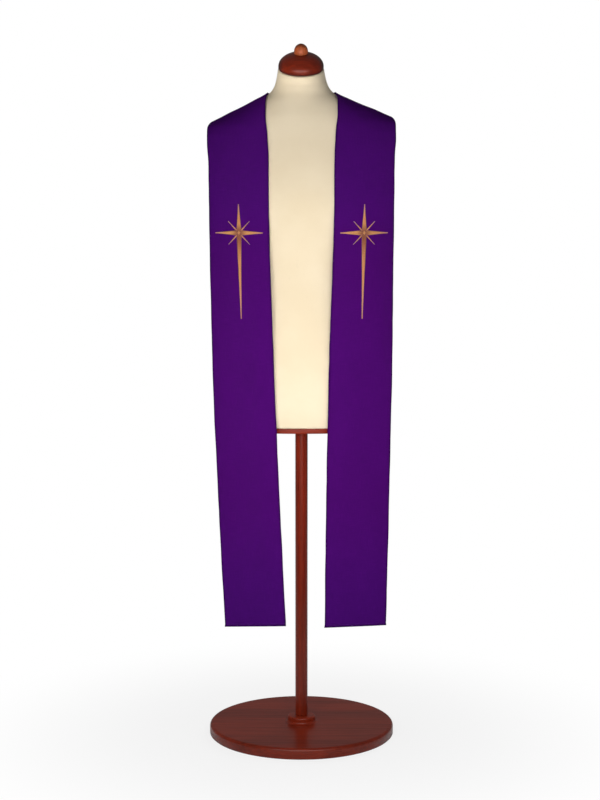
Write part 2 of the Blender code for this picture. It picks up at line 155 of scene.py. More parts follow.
FORM = [
    Section(0.7650, 0.1660, 0.1040, 0.1100, 0.000, 2.4),
    Section(0.8000, 0.1750, 0.1095, 0.1190, 0.000, 2.4),
    Section(0.8700, 0.1780, 0.1110, 0.1230, 0.000, 2.4),
    Section(0.9600, 0.1690, 0.1060, 0.1140, 0.000, 2.4),
    Section(1.0500, 0.1520, 0.1000, 0.0970, 0.000, 2.4),
    Section(1.1100, 0.1470, 0.0990, 0.0900, 0.000, 2.4),
    Section(1.1800, 0.1560, 0.1070, 0.0950, 0.000, 2.5),
    Section(1.2500, 0.1730, 0.1175, 0.1080, 0.000, 2.5),
    Section(1.3000, 0.1850, 0.1225, 0.1180, 0.000, 2.5),
    Section(1.3600, 0.1970, 0.1180, 0.1175, 0.000, 2.3),
    Section(1.4100, 0.2080, 0.1100, 0.1100, 0.000, 2.1),
    Section(1.4450, 0.2140, 0.1015, 0.1025, 0.000, 2.0),
    Section(1.4650, 0.2150, 0.0960, 0.0965, 0.000, 2.0),
    Section(1.4800, 0.2090, 0.0915, 0.0915, 0.000, 2.0),
    Section(1.4940, 0.1910, 0.0865, 0.0865, 0.000, 2.0),
    Section(1.5125, 0.1550, 0.0800, 0.0775, 0.002, 2.0),
    Section(1.5340, 0.1100, 0.0710, 0.0675, 0.004, 2.0),
    Section(1.5500, 0.0795, 0.0640, 0.0600, 0.005, 2.0),
    Section(1.5650, 0.0660, 0.0585, 0.0560, 0.002, 2.0),
    Section(1.5830, 0.0592, 0.0555, 0.0535, 0.0000, 2.0),
    Section(1.6088, 0.0540, 0.0525, 0.0525, -0.0073, 2.0),
]

# Edges of a band: distances of its inner and outer edge from the centre plane.
Edge = namedtuple("Edge", "z inner outer")

SHOULDER_EDGES = [
    Edge(1.3000, 0.0757, 0.2170),
    Edge(1.3940, 0.0762, 0.2180),
    Edge(1.4400, 0.0786, 0.2212),
    Edge(1.4630, 0.0800, 0.2212),
    Edge(1.4950, 0.0835, 0.2212),
    Edge(1.5300, 0.0840, 0.2212),
    Edge(1.5600, 0.0785, 0.2212),
]
LEFT_HANG_EDGES = [
    Edge(0.288, 0.0367, 0.1837),
    Edge(0.600, 0.0516, 0.1987),
    Edge(0.930, 0.0651, 0.2110),
]
RIGHT_HANG_EDGES = [
    Edge(0.288, 0.0550, 0.2030),
    Edge(0.600, 0.0582, 0.2090),
    Edge(0.930, 0.0645, 0.2145),
]

# Creases: where the middle of each lies, metres up the band from the hem and across it from its
# middle line towards the outer edge, its half-length and half-width, how far it stands out
# (or sinks in, below zero) and how far it turns from the band's own direction, in degrees.
Crease = namedtuple("Crease", "along across length width height turn")

LEFT_CREASES = [
    Crease(0.060, 0.010, 0.120, 0.050, -0.0016, 0),
    Crease(0.250, -0.038, 0.170, 0.026, 0.0011, 3),
    Crease(0.330, 0.044, 0.140, 0.024, 0.0013, -5),
    Crease(0.520, 0.012, 0.190, 0.034, -0.0010, 2),
    Crease(0.660, -0.046, 0.130, 0.022, 0.0010, -4),
    Crease(0.640, 0.058, 0.120, 0.018, 0.0009, 3),
    Crease(1.045, 0.005, 0.075, 0.030, 0.0009, 82),
    Crease(1.120, 0.040, 0.060, 0.016, 0.0008, -28),
    Crease(1.185, -0.020, 0.070, 0.015, 0.0011, 42),
    Crease(1.275, 0.030, 0.055, 0.016, 0.0010, -35),
    Crease(1.330, -0.050, 0.028, 0.009, 0.0012, 78),
    Crease(1.372, -0.056, 0.024, 0.007, 0.0009, 88),
    Crease(1.405, -0.046, 0.034, 0.010, 0.0013, 84),
    Crease(1.445, -0.058, 0.022, 0.007, 0.0008, 96),
    Crease(1.390, 0.040, 0.050, 0.020, -0.0008, 20),
]
RIGHT_CREASES = [
    Crease(0.075, -0.014, 0.110, 0.048, -0.0014, 0),
    Crease(0.220, 0.040, 0.150, 0.024, 0.0012, -4),
    Crease(0.390, -0.042, 0.160, 0.026, 0.0010, 4),
    Crease(0.470, 0.030, 0.150, 0.030, -0.0012, -2),
    Crease(0.610, -0.012, 0.140, 0.030, 0.0008, 5),
    Crease(0.690, 0.055, 0.110, 0.018, 0.0010, -3),
    Crease(1.050, -0.010, 0.070, 0.028, 0.0010, 98),
    Crease(1.135, 0.046, 0.050, 0.015, 0.0009, 30),
    Crease(1.200, -0.012, 0.064, 0.014, 0.0010, -46),
    Crease(1.290, 0.034, 0.060, 0.017, 0.0009, 38),
    Crease(1.318, -0.054, 0.024, 0.008, 0.0010, 100),
    Crease(1.356, -0.048, 0.032, 0.010, 0.0013, 92),
    Crease(1.398, -0.058, 0.022, 0.007, 0.0009, 84),
    Crease(1.432, -0.050, 0.030, 0.009, 0.0011, 95),
    Crease(1.400, 0.034, 0.048, 0.020, -0.0007, -18),
]

# hem_drop is how far the outer corner of the hem hangs below the inner one: the hem is square to
# its band, and the bands lean inwards.
Side = namedtuple("Side", "name sign hem_drop edges creases")
SIDES = [
    Side("left", -1, 0.0107, LEFT_HANG_EDGES + SHOULDER_EDGES, LEFT_CREASES),
    Side("right", 1, 0.0028, RIGHT_HANG_EDGES + SHOULDER_EDGES, RIGHT_CREASES),
]

# Arms of the cross: direction across and up the band, and length from the centre
Arm = namedtuple("Arm", "across up length")
ARMS = [
    Arm(0, 1, 0.066),
    Arm(1, 0, 0.060),
    Arm(0, -1, 0.200),
    Arm(-1, 0, 0.060),
]


# ---------------------------------------------------------------------------------------------
# Settings
# ---------------------------------------------------------------------------------------------


class StoleClothSettings(bpy.types.PropertyGroup):
    wall: FloatProperty(
        name="Wall",
        description="Thickness of the two layers of cloth and the interlining between them",
        default=0.0017, min=0.0005, max=0.003, precision=4, unit="LENGTH",
    )
    fold_width: FloatProperty(
        name="Fold Width",
        description="How far the turned-in cloth reaches from a long edge",
        default=0.012, min=0.004, max=0.03, precision=4, unit="LENGTH",
    )
    fold_rise: FloatProperty(
        name="Fold Rise",
        description="How much thicker each face is over the turned-in cloth",
        default=0.00016, min=0.0, max=0.001, precision=5, unit="LENGTH",
    )
    hem_depth: FloatProperty(
        name="Hem Depth",
        description="Height of the stitched hem",
        default=0.0062, min=0.003, max=0.03, precision=4, unit="LENGTH",
    )
    stitch_pitch: FloatProperty(
        name="Stitch Pitch",
        description="Distance from one hem stitch to the next",
        default=0.0034, min=0.002, max=0.008, precision=4, unit="LENGTH",
    )
    colour: FloatVectorProperty(
        name="Colour",
        description="Colour of the violet cloth",
        default=(0.0585, 0.0018, 0.126), min=0.0, max=1.0, subtype="COLOR",
    )
    slub_colour: FloatVectorProperty(
        name="Slub Colour",
        description="Colour of the thicker, lighter threads in the weave",
        default=(0.073, 0.0026, 0.150), min=0.0, max=1.0, subtype="COLOR",
    )
    weave_pitch: FloatProperty(
        name="Weave Pitch",
        description="Distance between neighbouring threads of the weave",
        default=0.0006, min=0.0002, max=0.003, precision=5, unit="LENGTH",
    )


class StoleEmbroiderySettings(bpy.types.PropertyGroup):
    thread: FloatProperty(
        name="Thread",
        description="Thickness of the embroidery thread",
        default=0.00050, min=0.0002, max=0.001, precision=5, unit="LENGTH",
    )
    pitch: FloatProperty(
        name="Pitch",
        description="Distance between neighbouring satin stitches",
        default=0.00044, min=0.0002, max=0.001, precision=5, unit="LENGTH",
    )
    rise: FloatProperty(
        name="Rise",
        description="How far the satin stitches arch over their padding",
        default=0.0007, min=0.0002, max=0.002, precision=5, unit="LENGTH",
    )
    slant: FloatProperty(
        name="Slant",
        description="Lean of the satin stitches along each arm",
        default=radians(34), min=0.0, max=radians(60), subtype="ANGLE",
    )
    outline_stitch: FloatProperty(
        name="Outline Stitch",
        description="Length of one stitch of the outline",
        default=0.0034, min=0.001, max=0.01, precision=4, unit="LENGTH",
    )
    gold: FloatVectorProperty(
        name="Gold",
        description="Colour of the thread along the arms",
        default=(0.79, 0.370, 0.130), min=0.0, max=1.0, subtype="COLOR",
    )
    pale_gold: FloatVectorProperty(
        name="Pale Gold",
        description="Colour that the thread fades to at the ends of the arms",
        default=(0.80, 0.440, 0.300), min=0.0, max=1.0, subtype="COLOR",
    )
    copper: FloatVectorProperty(
        name="Copper",
        description="Colour of the thread at the crossing and of the outline",
        default=(0.37, 0.110, 0.050), min=0.0, max=1.0, subtype="COLOR",
    )


class DressFormSettings(bpy.types.PropertyGroup):
    cover: FloatVectorProperty(
        name="Cover",
        description="Colour of the jersey cover",
        default=(0.92, 0.785, 0.57), min=0.0, max=1.0, subtype="COLOR",
    )
    knit_pitch: FloatProperty(
        name="Knit Pitch",
        description="Width of one column of stitches in the jersey",
        default=0.0011, min=0.0005, max=0.004, precision=5, unit="LENGTH",
    )
    seam_depth: FloatProperty(
        name="Seam Depth",
        description="How far the seams of the cover draw in",
        default=0.0007, min=0.0, max=0.003, precision=5, unit="LENGTH",
    )
    mahogany: FloatVectorProperty(
        name="Mahogany",
        description="Colour of the varnished cap and stand",
        default=(0.270, 0.023, 0.005), min=0.0, max=1.0, subtype="COLOR",
    )
    mahogany_dark: FloatVectorProperty(
        name="Dark Mahogany",
        description="Colour of the dark grain in the varnished wood",
        default=(0.125, 0.0105, 0.002), min=0.0, max=1.0, subtype="COLOR",
    )
    knob: FloatVectorProperty(
        name="Knob",
        description="Colour of the lighter wood of the knob",
        default=(0.56, 0.130, 0.040), min=0.0, max=1.0, subtype="COLOR",
    )
    knob_dark: FloatVectorProperty(
        name="Dark Knob",
        description="Colour of the grain in the knob",
        default=(0.34, 0.065, 0.018), min=0.0, max=1.0, subtype="COLOR",
    )
    around: IntProperty(
        name="Points Around",
        description="Points round the form and the turned pieces",
        default=160, min=32, max=256,
    )


class StudioSettings(bpy.types.PropertyGroup):
    camera_distance: FloatProperty(
        name="Camera Distance",
        description="Distance of the camera in front of the pole",
        default=4.2, min=1.0, max=12.0, unit="LENGTH",
    )
    camera_height: FloatProperty(
        name="Camera Height",
        description="Height of the camera above the floor",
        default=1.30, min=0.1, max=4.0, unit="LENGTH",
    )
    camera_aside: FloatProperty(
        name="Camera Aside",
        description="How far the camera stands to the right of the pole",
        default=-0.0036, min=-1.0, max=1.0, precision=4, unit="LENGTH",
    )
    camera_pitch: FloatProperty(
        name="Camera Pitch",
        description="How far the camera looks down",
        default=radians(6.4936), min=-1.0, max=1.0, subtype="ANGLE",
    )
    picture_focus: FloatProperty(
        name="Picture Focus",
        description="Focal length as a share of the picture's height",
        default=1751.4 / 800, min=0.2, max=10.0,
    )
    key_power: FloatProperty(
        name="Key Power",
        description="Power of the soft light in front",
        default=22.0, min=0.0, max=500.0, subtype="POWER", unit="POWER",
    )
    ambient: FloatProperty(
        name="Ambient",
        description="Strength of the even light from all round",
        default=0.12, min=0.0, max=2.0,
    )
    backdrop: FloatVectorProperty(
        name="Backdrop",
        description="Colour of the backdrop and the far floor",
        default=(1.0, 1.0, 1.0), min=0.0, max=1.0, subtype="COLOR",
    )


# ---------------------------------------------------------------------------------------------
# Curves, grids and meshes
# ---------------------------------------------------------------------------------------------


def flow(at, knots, values):
    """A smooth curve through the knots that never overshoots them: a cubic between each two,
    with the weighted harmonic mean of the neighbouring slopes as its tangent at a knot."""
    at = np.clip(np.asarray(at, float), knots[0], knots[-1])
    step = np.diff(knots)
    slope = np.diff(values) / step
    tangent = np.zeros(len(knots))
    same_way = slope[:-1] * slope[1:] > 0
    before = 2 * step[1:] + step[:-1]
    after = step[1:] + 2 * step[:-1]
    safe = np.where(same_way, slope[:-1], 1), np.where(same_way, slope[1:], 1)
    mean = (before + after) / (before / safe[0] + after / safe[1])
    tangent[1:-1] = np.where(same_way, mean, 0)
    tangent[0], tangent[-1] = slope[0], slope[-1]
    cell = np.clip(np.searchsorted(knots, at, side="right") - 1, 0, len(step) - 1)
    width = step[cell]
    u = (at - knots[cell]) / width
    near = (1 + 2 * u) * (1 - u) ** 2 * values[cell] + u * (1 - u) ** 2 * width * tangent[cell]
    far = u**2 * (3 - 2 * u) * values[cell + 1] - u**2 * (1 - u) * width * tangent[cell + 1]
    return near + far


def read(table, column, z):
    """A column of a table at the heights z."""
    knots = np.array([row.z for row in table])
    values = np.array([getattr(row, column) for row in table])
    return flow(z, knots, values)


def smooth_step(u):
    """0 below 0, 1 above 1, and 3u^2 - 2u^3 between."""
    u = np.clip(u, 0, 1)
    return u * u * (3 - 2 * u)


def lean(points):
    """Raises the right shoulder and lowers the left one: z grows by LEAN times x, times a smooth
    step up from the chest and another down towards the neck."""
    z = points[..., 2]
    gain = smooth_step((z - LEAN_FROM_Z) / (LEAN_FULL_Z - LEAN_FROM_Z))
    fade = 1 - smooth_step((z - LEAN_FADE_Z) / (LEAN_TO_Z - LEAN_FADE_Z))
    leant = points.copy()
    leant[..., 2] = z + LEAN * points[..., 0] * gain * fade
    return leant


def unit(vectors):
    return vectors / np.linalg.norm(vectors, axis=-1, keepdims=True)


def quarter_turn(steps):
    """Angles from 0 to a right angle."""
    return np.linspace(0, pi / 2, steps + 1)


def grid_quads(rows, columns):
    """Corner numbers of the quads of a grid, row after row."""
    first = np.arange(rows - 1)[:, None] * columns + np.arange(columns - 1)
    return np.stack([first, first + 1, first + columns + 1, first + columns], axis=-1).reshape(-1, 4)


def new_mesh(name, points, polygons, uv=None, **attributes):
    """A smooth mesh of points (n, 3) and polygons, a list of arrays of corner numbers.

    uv holds two numbers a point and each attribute one. Points that coincide are welded, which
    closes the seams and poles, and the whole is turned outwards if its volume is negative.
    """
    mesh = bpy.data.meshes.new(name)
    points = np.asarray(points, float).reshape(-1, 3)
    corners = np.concatenate([part.reshape(-1) for part in polygons]).astype(np.int32)
    counts = np.concatenate([np.full(len(part), part.shape[1]) for part in polygons])
    mesh.vertices.add(len(points))
    mesh.vertices.foreach_set("co", points.astype(np.float32).ravel())
    mesh.loops.add(len(corners))
    mesh.polygons.add(len(counts))
    mesh.polygons.foreach_set("loop_start", (np.cumsum(counts) - counts).astype(np.int32))
    mesh.polygons.foreach_set("vertices", corners)
    mesh.update(calc_edges=True)
    if uv is not None:
        layer = mesh.uv_layers.new(name="surface")
        flat = np.asarray(uv, np.float32).reshape(-1, 2)
        layer.data.foreach_set("uv", flat[corners].ravel())
    for label, values in attributes.items():
        attribute = mesh.attributes.new(label, "FLOAT", "POINT")
        attribute.data.foreach_set("value", np.asarray(values, np.float32).ravel())
    weld(mesh)
    if signed_volume(mesh) < 0:
        mesh.flip_normals()
    mesh.shade_smooth()
    return mesh


def weld(mesh, distance=0.000002):
    """Merges points that coincide and drops the faces that close up as they merge."""
    work = bmesh.new()
    work.from_mesh(mesh)
    bmesh.ops.remove_doubles(work, verts=work.verts, dist=distance)
    bmesh.ops.dissolve_degenerate(work, edges=work.edges, dist=distance)
    work.to_mesh(mesh)
    work.free()


def signed_volume(mesh):
    """Six times the volume inside a closed mesh, positive if its faces point outwards."""
    mesh.calc_loop_triangles()
    co = np.empty(len(mesh.vertices) * 3, np.float32)
    mesh.vertices.foreach_get("co", co)
    corners = np.empty(len(mesh.loop_triangles) * 3, np.int32)
    mesh.loop_triangles.foreach_get("vertices", corners)
    triangles = co.reshape(-1, 3)[corners].reshape(-1, 3, 3).astype(float)
    return float(np.einsum("ij,ij->", triangles[:, 0], np.cross(triangles[:, 1], triangles[:, 2])))


def new_piece(name, mesh, material, slot, *nodes):
    """Puts a finished mesh into the scene as a piece that stands for the named solids."""
    for old in [o for o in bpy.data.objects if o.name == name]:
        bpy.data.objects.remove(old)
    piece = bpy.data.objects.new(name, mesh)
    mesh.materials.append(material)
    bpy.context.scene.collection.objects.link(piece)
    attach(piece, BODY)
    if nodes:
        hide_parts(*nodes)
    return piece


def join_parts(parts):
    """Points and quads of several (points, quads, values) parts, one after the other."""
    starts = np.cumsum([0] + [len(points) for points, _, _ in parts[:-1]])
    points = np.concatenate([points for points, _, _ in parts])
    quads = np.concatenate([quads + start for (_, quads, _), start in zip(parts, starts)])
    keys = parts[0][2].keys()
    values = {key: np.concatenate([part[2][key] for part in parts]) for key in keys}
    return points, quads, values


def tubes(paths, up, radii, sides):
    """Tubes along many paths at once.

    paths is (tubes, steps, 3), up gives the outward direction at each step, and radii is
    (tubes, steps, 2): half the tube's width and height. Each ring is an ellipse in the plane
    across the path. A radius of zero at an end closes the tube to a point when it is welded.
    """
    along = unit(np.gradient(paths, axis=1))
    aside = unit(np.cross(along, up))
    top = np.cross(aside, along)
    turn = np.linspace(0, 2 * pi, sides + 1)
    wide = radii[..., 0, None, None] * np.cos(turn)[:, None] * aside[..., None, :]
    high = radii[..., 1, None, None] * np.sin(turn)[:, None] * top[..., None, :]
    points = paths[..., None, :] + wide + high
    count, steps = paths.shape[:2]
    one = grid_quads(steps, sides + 1)
    quads = (np.arange(count)[:, None, None] * steps * (sides + 1) + one).reshape(-1, 4)
    length = np.linalg.norm(np.diff(paths, axis=1), axis=-1)
    reach = np.concatenate([np.zeros((count, 1)), np.cumsum(length, axis=1)], axis=1)
    uv = np.stack(np.broadcast_arrays(turn / (2 * pi), reach[..., None]), axis=-1)
    return points.reshape(-1, 3), quads, uv.reshape(-1, 2)


# ---------------------------------------------------------------------------------------------
# Materials
# ---------------------------------------------------------------------------------------------


class Number:
    """A number that varies over a surface. Arithmetic on it adds Math nodes."""

    def __init__(self, finish, socket):
        self.finish = finish
        self.socket = socket

    def math(self, operation, *values):
        return self.finish.number("ShaderNodeMath", {"operation": operation}, dict(enumerate(values)))

    def __add__(self, other):
        return self.math("ADD", self, other)

    def __radd__(self, other):
        return self.math("ADD", other, self)

    def __sub__(self, other):
        return self.math("SUBTRACT", self, other)

    def __rsub__(self, other):
        return self.math("SUBTRACT", other, self)

    def __mul__(self, other):
        return self.math("MULTIPLY", self, other)

    def __rmul__(self, other):
        return self.math("MULTIPLY", other, self)

    def __truediv__(self, other):
        return self.math("DIVIDE", self, other)

    def __pow__(self, other):
        return self.math("POWER", self, other)

    def sine(self):
        return self.math("SINE", self)

    def size(self):
        return self.math("ABSOLUTE", self)

    def fraction(self):
        return self.math("FRACT", self)

    def over(self, limit):
        return self.math("GREATER_THAN", self, limit)

    def between(self, low, high):
        """0 at low and 1 at high, with a smooth climb between them."""
        inputs = {"Value": self, "From Min": low, "From Max": high}
        return self.finish.number("ShaderNodeMapRange", {"interpolation_type": "SMOOTHSTEP"}, inputs)


class Finish:
    """A material and the calls that fill its node tree."""

    def __init__(self, name, **constants):
        self.material = bpy.data.materials.new(name)
        self.material.use_nodes = True
        self.nodes = self.material.node_tree.nodes
        self.links = self.material.node_tree.links
        self.shader = self.nodes["Principled BSDF"]
        self.shade(**constants)

    def node(self, kind, settings=None, inputs=None):
        """A node of that type, with its settings made first and then its sockets' values or links."""
        made = self.nodes.new(kind)
        for label, value in (settings or {}).items():
            setattr(made, label, value)
        for label, value in (inputs or {}).items():
            self.feed(made.inputs[label], value)
        return made

    def feed(self, socket, value):
        value = getattr(value, "socket", value)
        if isinstance(value, bpy.types.NodeSocket):
            self.links.new(value, socket)
        else:
            socket.default_value = value

    def shade(self, **inputs):
        """Sets or links the shader's sockets; their names are written with underscores."""
        for label, value in inputs.items():
            socket = self.shader.inputs[label.replace("_", " ")]
            if isinstance(value, tuple) and socket.type == "RGBA":
                value = (*value, 1)
            self.feed(socket, value)

    def number(self, kind, settings=None, inputs=None, output=0):
        return Number(self, self.node(kind, settings, inputs).outputs[output])

    def place(self, kind="Object"):
        """The place on the surface, as object coordinates or as the piece's own map."""
        return self.node("ShaderNodeTexCoord").outputs[kind]

    def parts(self, vector):
        """The vector's three numbers."""
        split = self.node("ShaderNodeSeparateXYZ", inputs={0: vector})
        return [Number(self, socket) for socket in split.outputs]

    def scaled(self, vector, *factors):
        """A place or a colour with each of its three numbers multiplied by its own factor."""
        made = self.node("ShaderNodeVectorMath", {"operation": "MULTIPLY"}, {0: vector, 1: factors})
        return made.outputs[0]

    def noise(self, vector, scale, detail=2.0, roughness=0.5):
        """Smooth noise about 0.5."""
        inputs = {"Vector": vector, "Scale": scale, "Detail": detail, "Roughness": roughness}
        return self.number("ShaderNodeTexNoise", inputs=inputs)

    def attribute(self, label):
        return self.number("ShaderNodeAttribute", {"attribute_name": label}, output=2)

    def mix(self, share, first, second):
        """A colour between two colours."""
        first, second = [(*c, 1) if isinstance(c, tuple) else c for c in (first, second)]
        made = self.node("ShaderNodeMix", {"data_type": "RGBA"}, {0: share, 6: first, 7: second})
        return made.outputs[2]

    def dim(self, colour, share):
        """The colour times a number."""
        joined = self.node("ShaderNodeCombineXYZ", inputs={0: share, 1: share, 2: share}).outputs[0]
        made = self.node("ShaderNodeVectorMath", {"operation": "MULTIPLY"}, {0: colour, 1: joined})
        return made.outputs[0]

    def bump(self, height, distance, strength=1.0):
        """Normals from a height, in units of the distance in metres."""
        inputs = {"Height": height, "Distance": distance, "Strength": strength}
        return self.node("ShaderNodeBump", inputs=inputs).outputs[0]


# Painted shade on the violet: a bluer tint near the hem and on the shoulders, and darker cloth along
# the long edges, across the bottom of the hem and towards the bottom. Ranges are distances up the
# band from the hem, or in from a long edge.
BLUER = (1.0, 1.45, 1.17)
BLUE_FADES = (0.0, 0.34)
BLUE_RETURNS = (0.85, 1.02)
BLUE_RETURN = 0.6
LOW_PAINTED_SHADE = (0.0, 0.20)
EDGE_PAINTED_SHADE = (0.0006, 0.0072)
HEM_PAINTED_SHADE = (0.35, 1.15)  # shares of the hem's depth

END_STAIN_AND_SHADE = 0.72  # how much the ends of the grain darken, as stain and painted shade, and how much painted shade darkens the cap's lower edge
RIM_PAINTED_SHADE = 0.62
CAP_STAIN_AND_SHADE_FROM = 0.78  # where the ends' stain and painted shade start, as a share of the reach along the grain
KNOB_STAIN_AND_SHADE_FROM = 0.18
RIM_DARK = (0.0025, 0.0085)  # heights over the neck between which the painted shade on the cap's lower edge fades


def violet_cloth(cloth):
    """Matt plain weave: crossing threads, thicker slubs each way, painted shade between the threads,
    along the long edges, across the bottom of the hem and towards the bottom, and a painted shade
    tint, slightly bluer, towards the hem and over the shoulders."""
    finish = Finish(
        "violet_cloth", Roughness=0.88, Sheen_Weight=0.05, Sheen_Roughness=0.5,
        Sheen_Tint=(0.40, 0.03, 0.70), Specular_IOR_Level=0.05,
    )
    surface = finish.place("UV")
    across, along, _ = finish.parts(surface)
    warp = (across * (pi / cloth.weave_pitch)).sine()
    weft = (along * (pi / cloth.weave_pitch)).sine()
    over = (warp * weft).over(0)
    threads = warp.size() * over + weft.size() * (1 - over)
    warp_slubs = finish.noise(finish.scaled(surface, 1400, 36, 1), 1.0, 2.0)
    weft_slubs = finish.noise(finish.scaled(surface, 36, 1400, 1), 1.0, 2.0)
    slubs = (warp_slubs + weft_slubs) * 0.5
    clouds = finish.noise(surface, 14.0, 3.0)
    fibres = finish.noise(surface, 2600.0, 2.0)
    colour = finish.mix(slubs.between(0.44, 0.62), tuple(cloth.colour), tuple(cloth.slub_colour))
    # painted shade tint: the violet turns bluer near the hem and on the shoulders
    hem_gap = finish.attribute("hem_gap")
    hanging = hem_gap.between(*BLUE_FADES) * (1 - BLUE_RETURN * hem_gap.between(*BLUE_RETURNS))
    colour = finish.mix(hanging, finish.scaled(colour, *BLUER), colour)
    # painted shade: the cloth darkens along the long edges and across the bottom of the hem
    edge = finish.attribute("edge_gap").between(*EDGE_PAINTED_SHADE)
    hem = hem_gap.between(*(share * cloth.hem_depth for share in HEM_PAINTED_SHADE))
    low = hem_gap.between(*LOW_PAINTED_SHADE)
    tone = (0.62 + 0.38 * edge) * (0.55 + 0.45 * hem) * (0.93 + 0.14 * clouds)
    finish.shade(
        # painted shade: darker between the weave's threads and towards the bottom of the band
        Base_Color=finish.dim(colour, tone * (0.95 + 0.05 * threads) * (0.92 + 0.08 * low)),
        Roughness=0.80 + 0.14 * slubs,
        Normal=finish.bump(threads * 0.55 + slubs * 1.1 + fibres * 0.25, 0.00022, 0.55),
    )
    return finish.material


def hem_thread(cloth):
    """Twisted sewing thread in the cloth's colour."""
    finish = Finish("violet_sewing_thread", Roughness=0.5, Sheen_Weight=0.2, Specular_IOR_Level=0.4)
    turn, reach, _ = finish.parts(finish.place("UV"))
    twist = ((turn + reach * 900.0) * (2 * pi)).sine()
    # painted shade in the twist's grooves: the thread is darker violet there
    shaded = tuple(c * 0.55 for c in cloth.colour)
    colour = finish.mix(twist.between(-1.0, 1.0), shaded, tuple(cloth.slub_colour))
    finish.shade(Base_Color=colour, Normal=finish.bump(twist, 0.00005, 0.6))
    return finish.material


def gold_thread(work):
    """Lustrous twisted thread, copper at the crossing, gold along the arms and paler at the ends."""
    finish = Finish("gold_thread", Metallic=0.25, Specular_IOR_Level=0.55, Sheen_Weight=0.1)
    turn, reach, _ = finish.parts(finish.place("UV"))
    twist = ((turn + reach * 1100.0) * (2 * pi)).sine()
    fade = finish.attribute("fade")
    strand = finish.attribute("strand")
    body = finish.mix(fade.between(0.0, 0.35), tuple(work.copper), tuple(work.gold))
    body = finish.mix(fade.between(0.45, 1.0) * 0.8, body, tuple(work.pale_gold))
    body = finish.mix(finish.attribute("outline"), body, tuple(work.copper))
    # painted shade in the twist's grooves; the strand tone is the thread's own
    tone = (0.80 + 0.34 * strand) * (0.90 + 0.10 * twist)
    finish.shade(
        Base_Color=finish.dim(body, tone),
        Roughness=0.34 + 0.14 * strand,
        Normal=finish.bump(twist, 0.00006, 0.5),
    )
    return finish.material


def cream_cover(form):
    """Fine cotton jersey: columns of V-shaped stitches, a soft bloom and faint wear marks."""
    finish = Finish(
        "cream_cover", Roughness=0.92, Sheen_Weight=0.25, Sheen_Roughness=0.5,
        Sheen_Tint=(1.0, 0.95, 0.85), Specular_IOR_Level=0.15,
    )
    surface = finish.place("UV")
    around, up, _ = finish.parts(surface)
    column = (around / form.knit_pitch).fraction()
    lean = (column - 0.5).size()
    row = (up / (form.knit_pitch * 0.82) + lean * 0.9) * (2 * pi)
    loops = row.sine() * 0.5 + 0.5
    valley = lean.between(0.5, 0.36) * lean.between(0.0, 0.12)
    knit = loops * 0.5 + valley
    bloom = finish.noise(surface, 1500.0, 3.0)
    clouds = finish.noise(finish.place("Object"), 5.0, 4.0)
    marks = finish.noise(finish.place("Object"), 38.0, 4.0, 0.65).between(0.62, 0.80)
    cover = tuple(form.cover)
    shaded = tuple(c * f for c, f in zip(form.cover, (0.94, 0.92, 0.88)))
    colour = finish.mix(clouds.between(0.35, 0.70), cover, shaded)
    # painted shade in the hollows between the stitches; the wear marks are the cover's own
    tone = (0.965 + 0.035 * knit) * (1 - 0.05 * marks)
    finish.shade(
        Base_Color=finish.dim(colour, tone),
        Roughness=0.86 + 0.10 * bloom,
        Normal=finish.bump(knit * 0.9 + bloom * 0.35, 0.00016, 0.5),
    )
    return finish.material


def end_stain_and_shade(finish, middle, reach, start, axis):
    """Share of darkening at both ends of a piece along its grain: stain soaked in where the fibres
    come out, and painted shade on the knob's top and the cap's left and right sides.
    """
    along = finish.parts(finish.place("Object"))[axis]
    return ((along - middle) * (1 / reach)).size().between(start, 1.0)


def cap_rim_painted_shade(finish):
    """Share of painted shade along the cap's lower edge, from the height over the sloping neck."""
    _, y, z = finish.parts(finish.place("Object"))
    height = (z - FORM[-1].z) * cos(NECK_TILT) - (y - FORM[-1].centre_y) * sin(NECK_TILT)
    return 1 - height.between(*RIM_DARK)


def varnished_wood(name, light, dark, axis, scale=1.0, gloss=0.6, haze=0.22, ends=None, rim=False):
    """Close-grained wood under clear varnish: long fibres along one axis, broad bands of colour,
    short dark pores, and a faint unevenness in the varnish.

    ends holds a piece's middle and reach along its grain and the share of the reach where its ends
    start to darken, as end-grain stain and painted shade. rim adds painted shade along the cap's
    lower edge.
    """
    finish = Finish(name, Coat_Weight=gloss, Coat_Roughness=haze, Coat_IOR=1.5, Specular_IOR_Level=0.15)
    place = finish.place("Object")

    def grain(along, across, detail, roughness=0.5):
        """Noise that is finer across the fibres than along them."""
        factors = [(along if index == axis else across) * scale for index in range(3)]
        return finish.noise(finish.scaled(place, *factors), 1.0, detail, roughness)

    fibres = grain(6.0, 150.0, 4.0, 0.6)
    bands = grain(0.78, 19.5, 3.0, 0.55)
    pores = grain(40.0, 620.0, 2.0).between(0.64, 0.74)
    colour = finish.mix(bands.between(0.30, 0.72) * 0.6 + fibres.between(0.35, 0.70) * 0.4, light, dark)
    ripple = finish.noise(place, 70.0 * scale, 2.0)
    clear = 1 - 0.5 * pores
    # end-grain stain, and painted shade on the knob's top and the cap's left and right sides
    if ends:
        clear = clear * (1 - END_STAIN_AND_SHADE * end_stain_and_shade(finish, *ends, axis))
    # painted shade along the cap's lower edge
    if rim:
        clear = clear * (1 - RIM_PAINTED_SHADE * cap_rim_painted_shade(finish))
    finish.shade(
        Base_Color=finish.dim(colour, clear),
        Roughness=0.30 + 0.16 * fibres,
        Normal=finish.bump(fibres * 0.25 + ripple * 0.5 - pores * 0.4, 0.00012, 0.5),
    )
    return finish.material


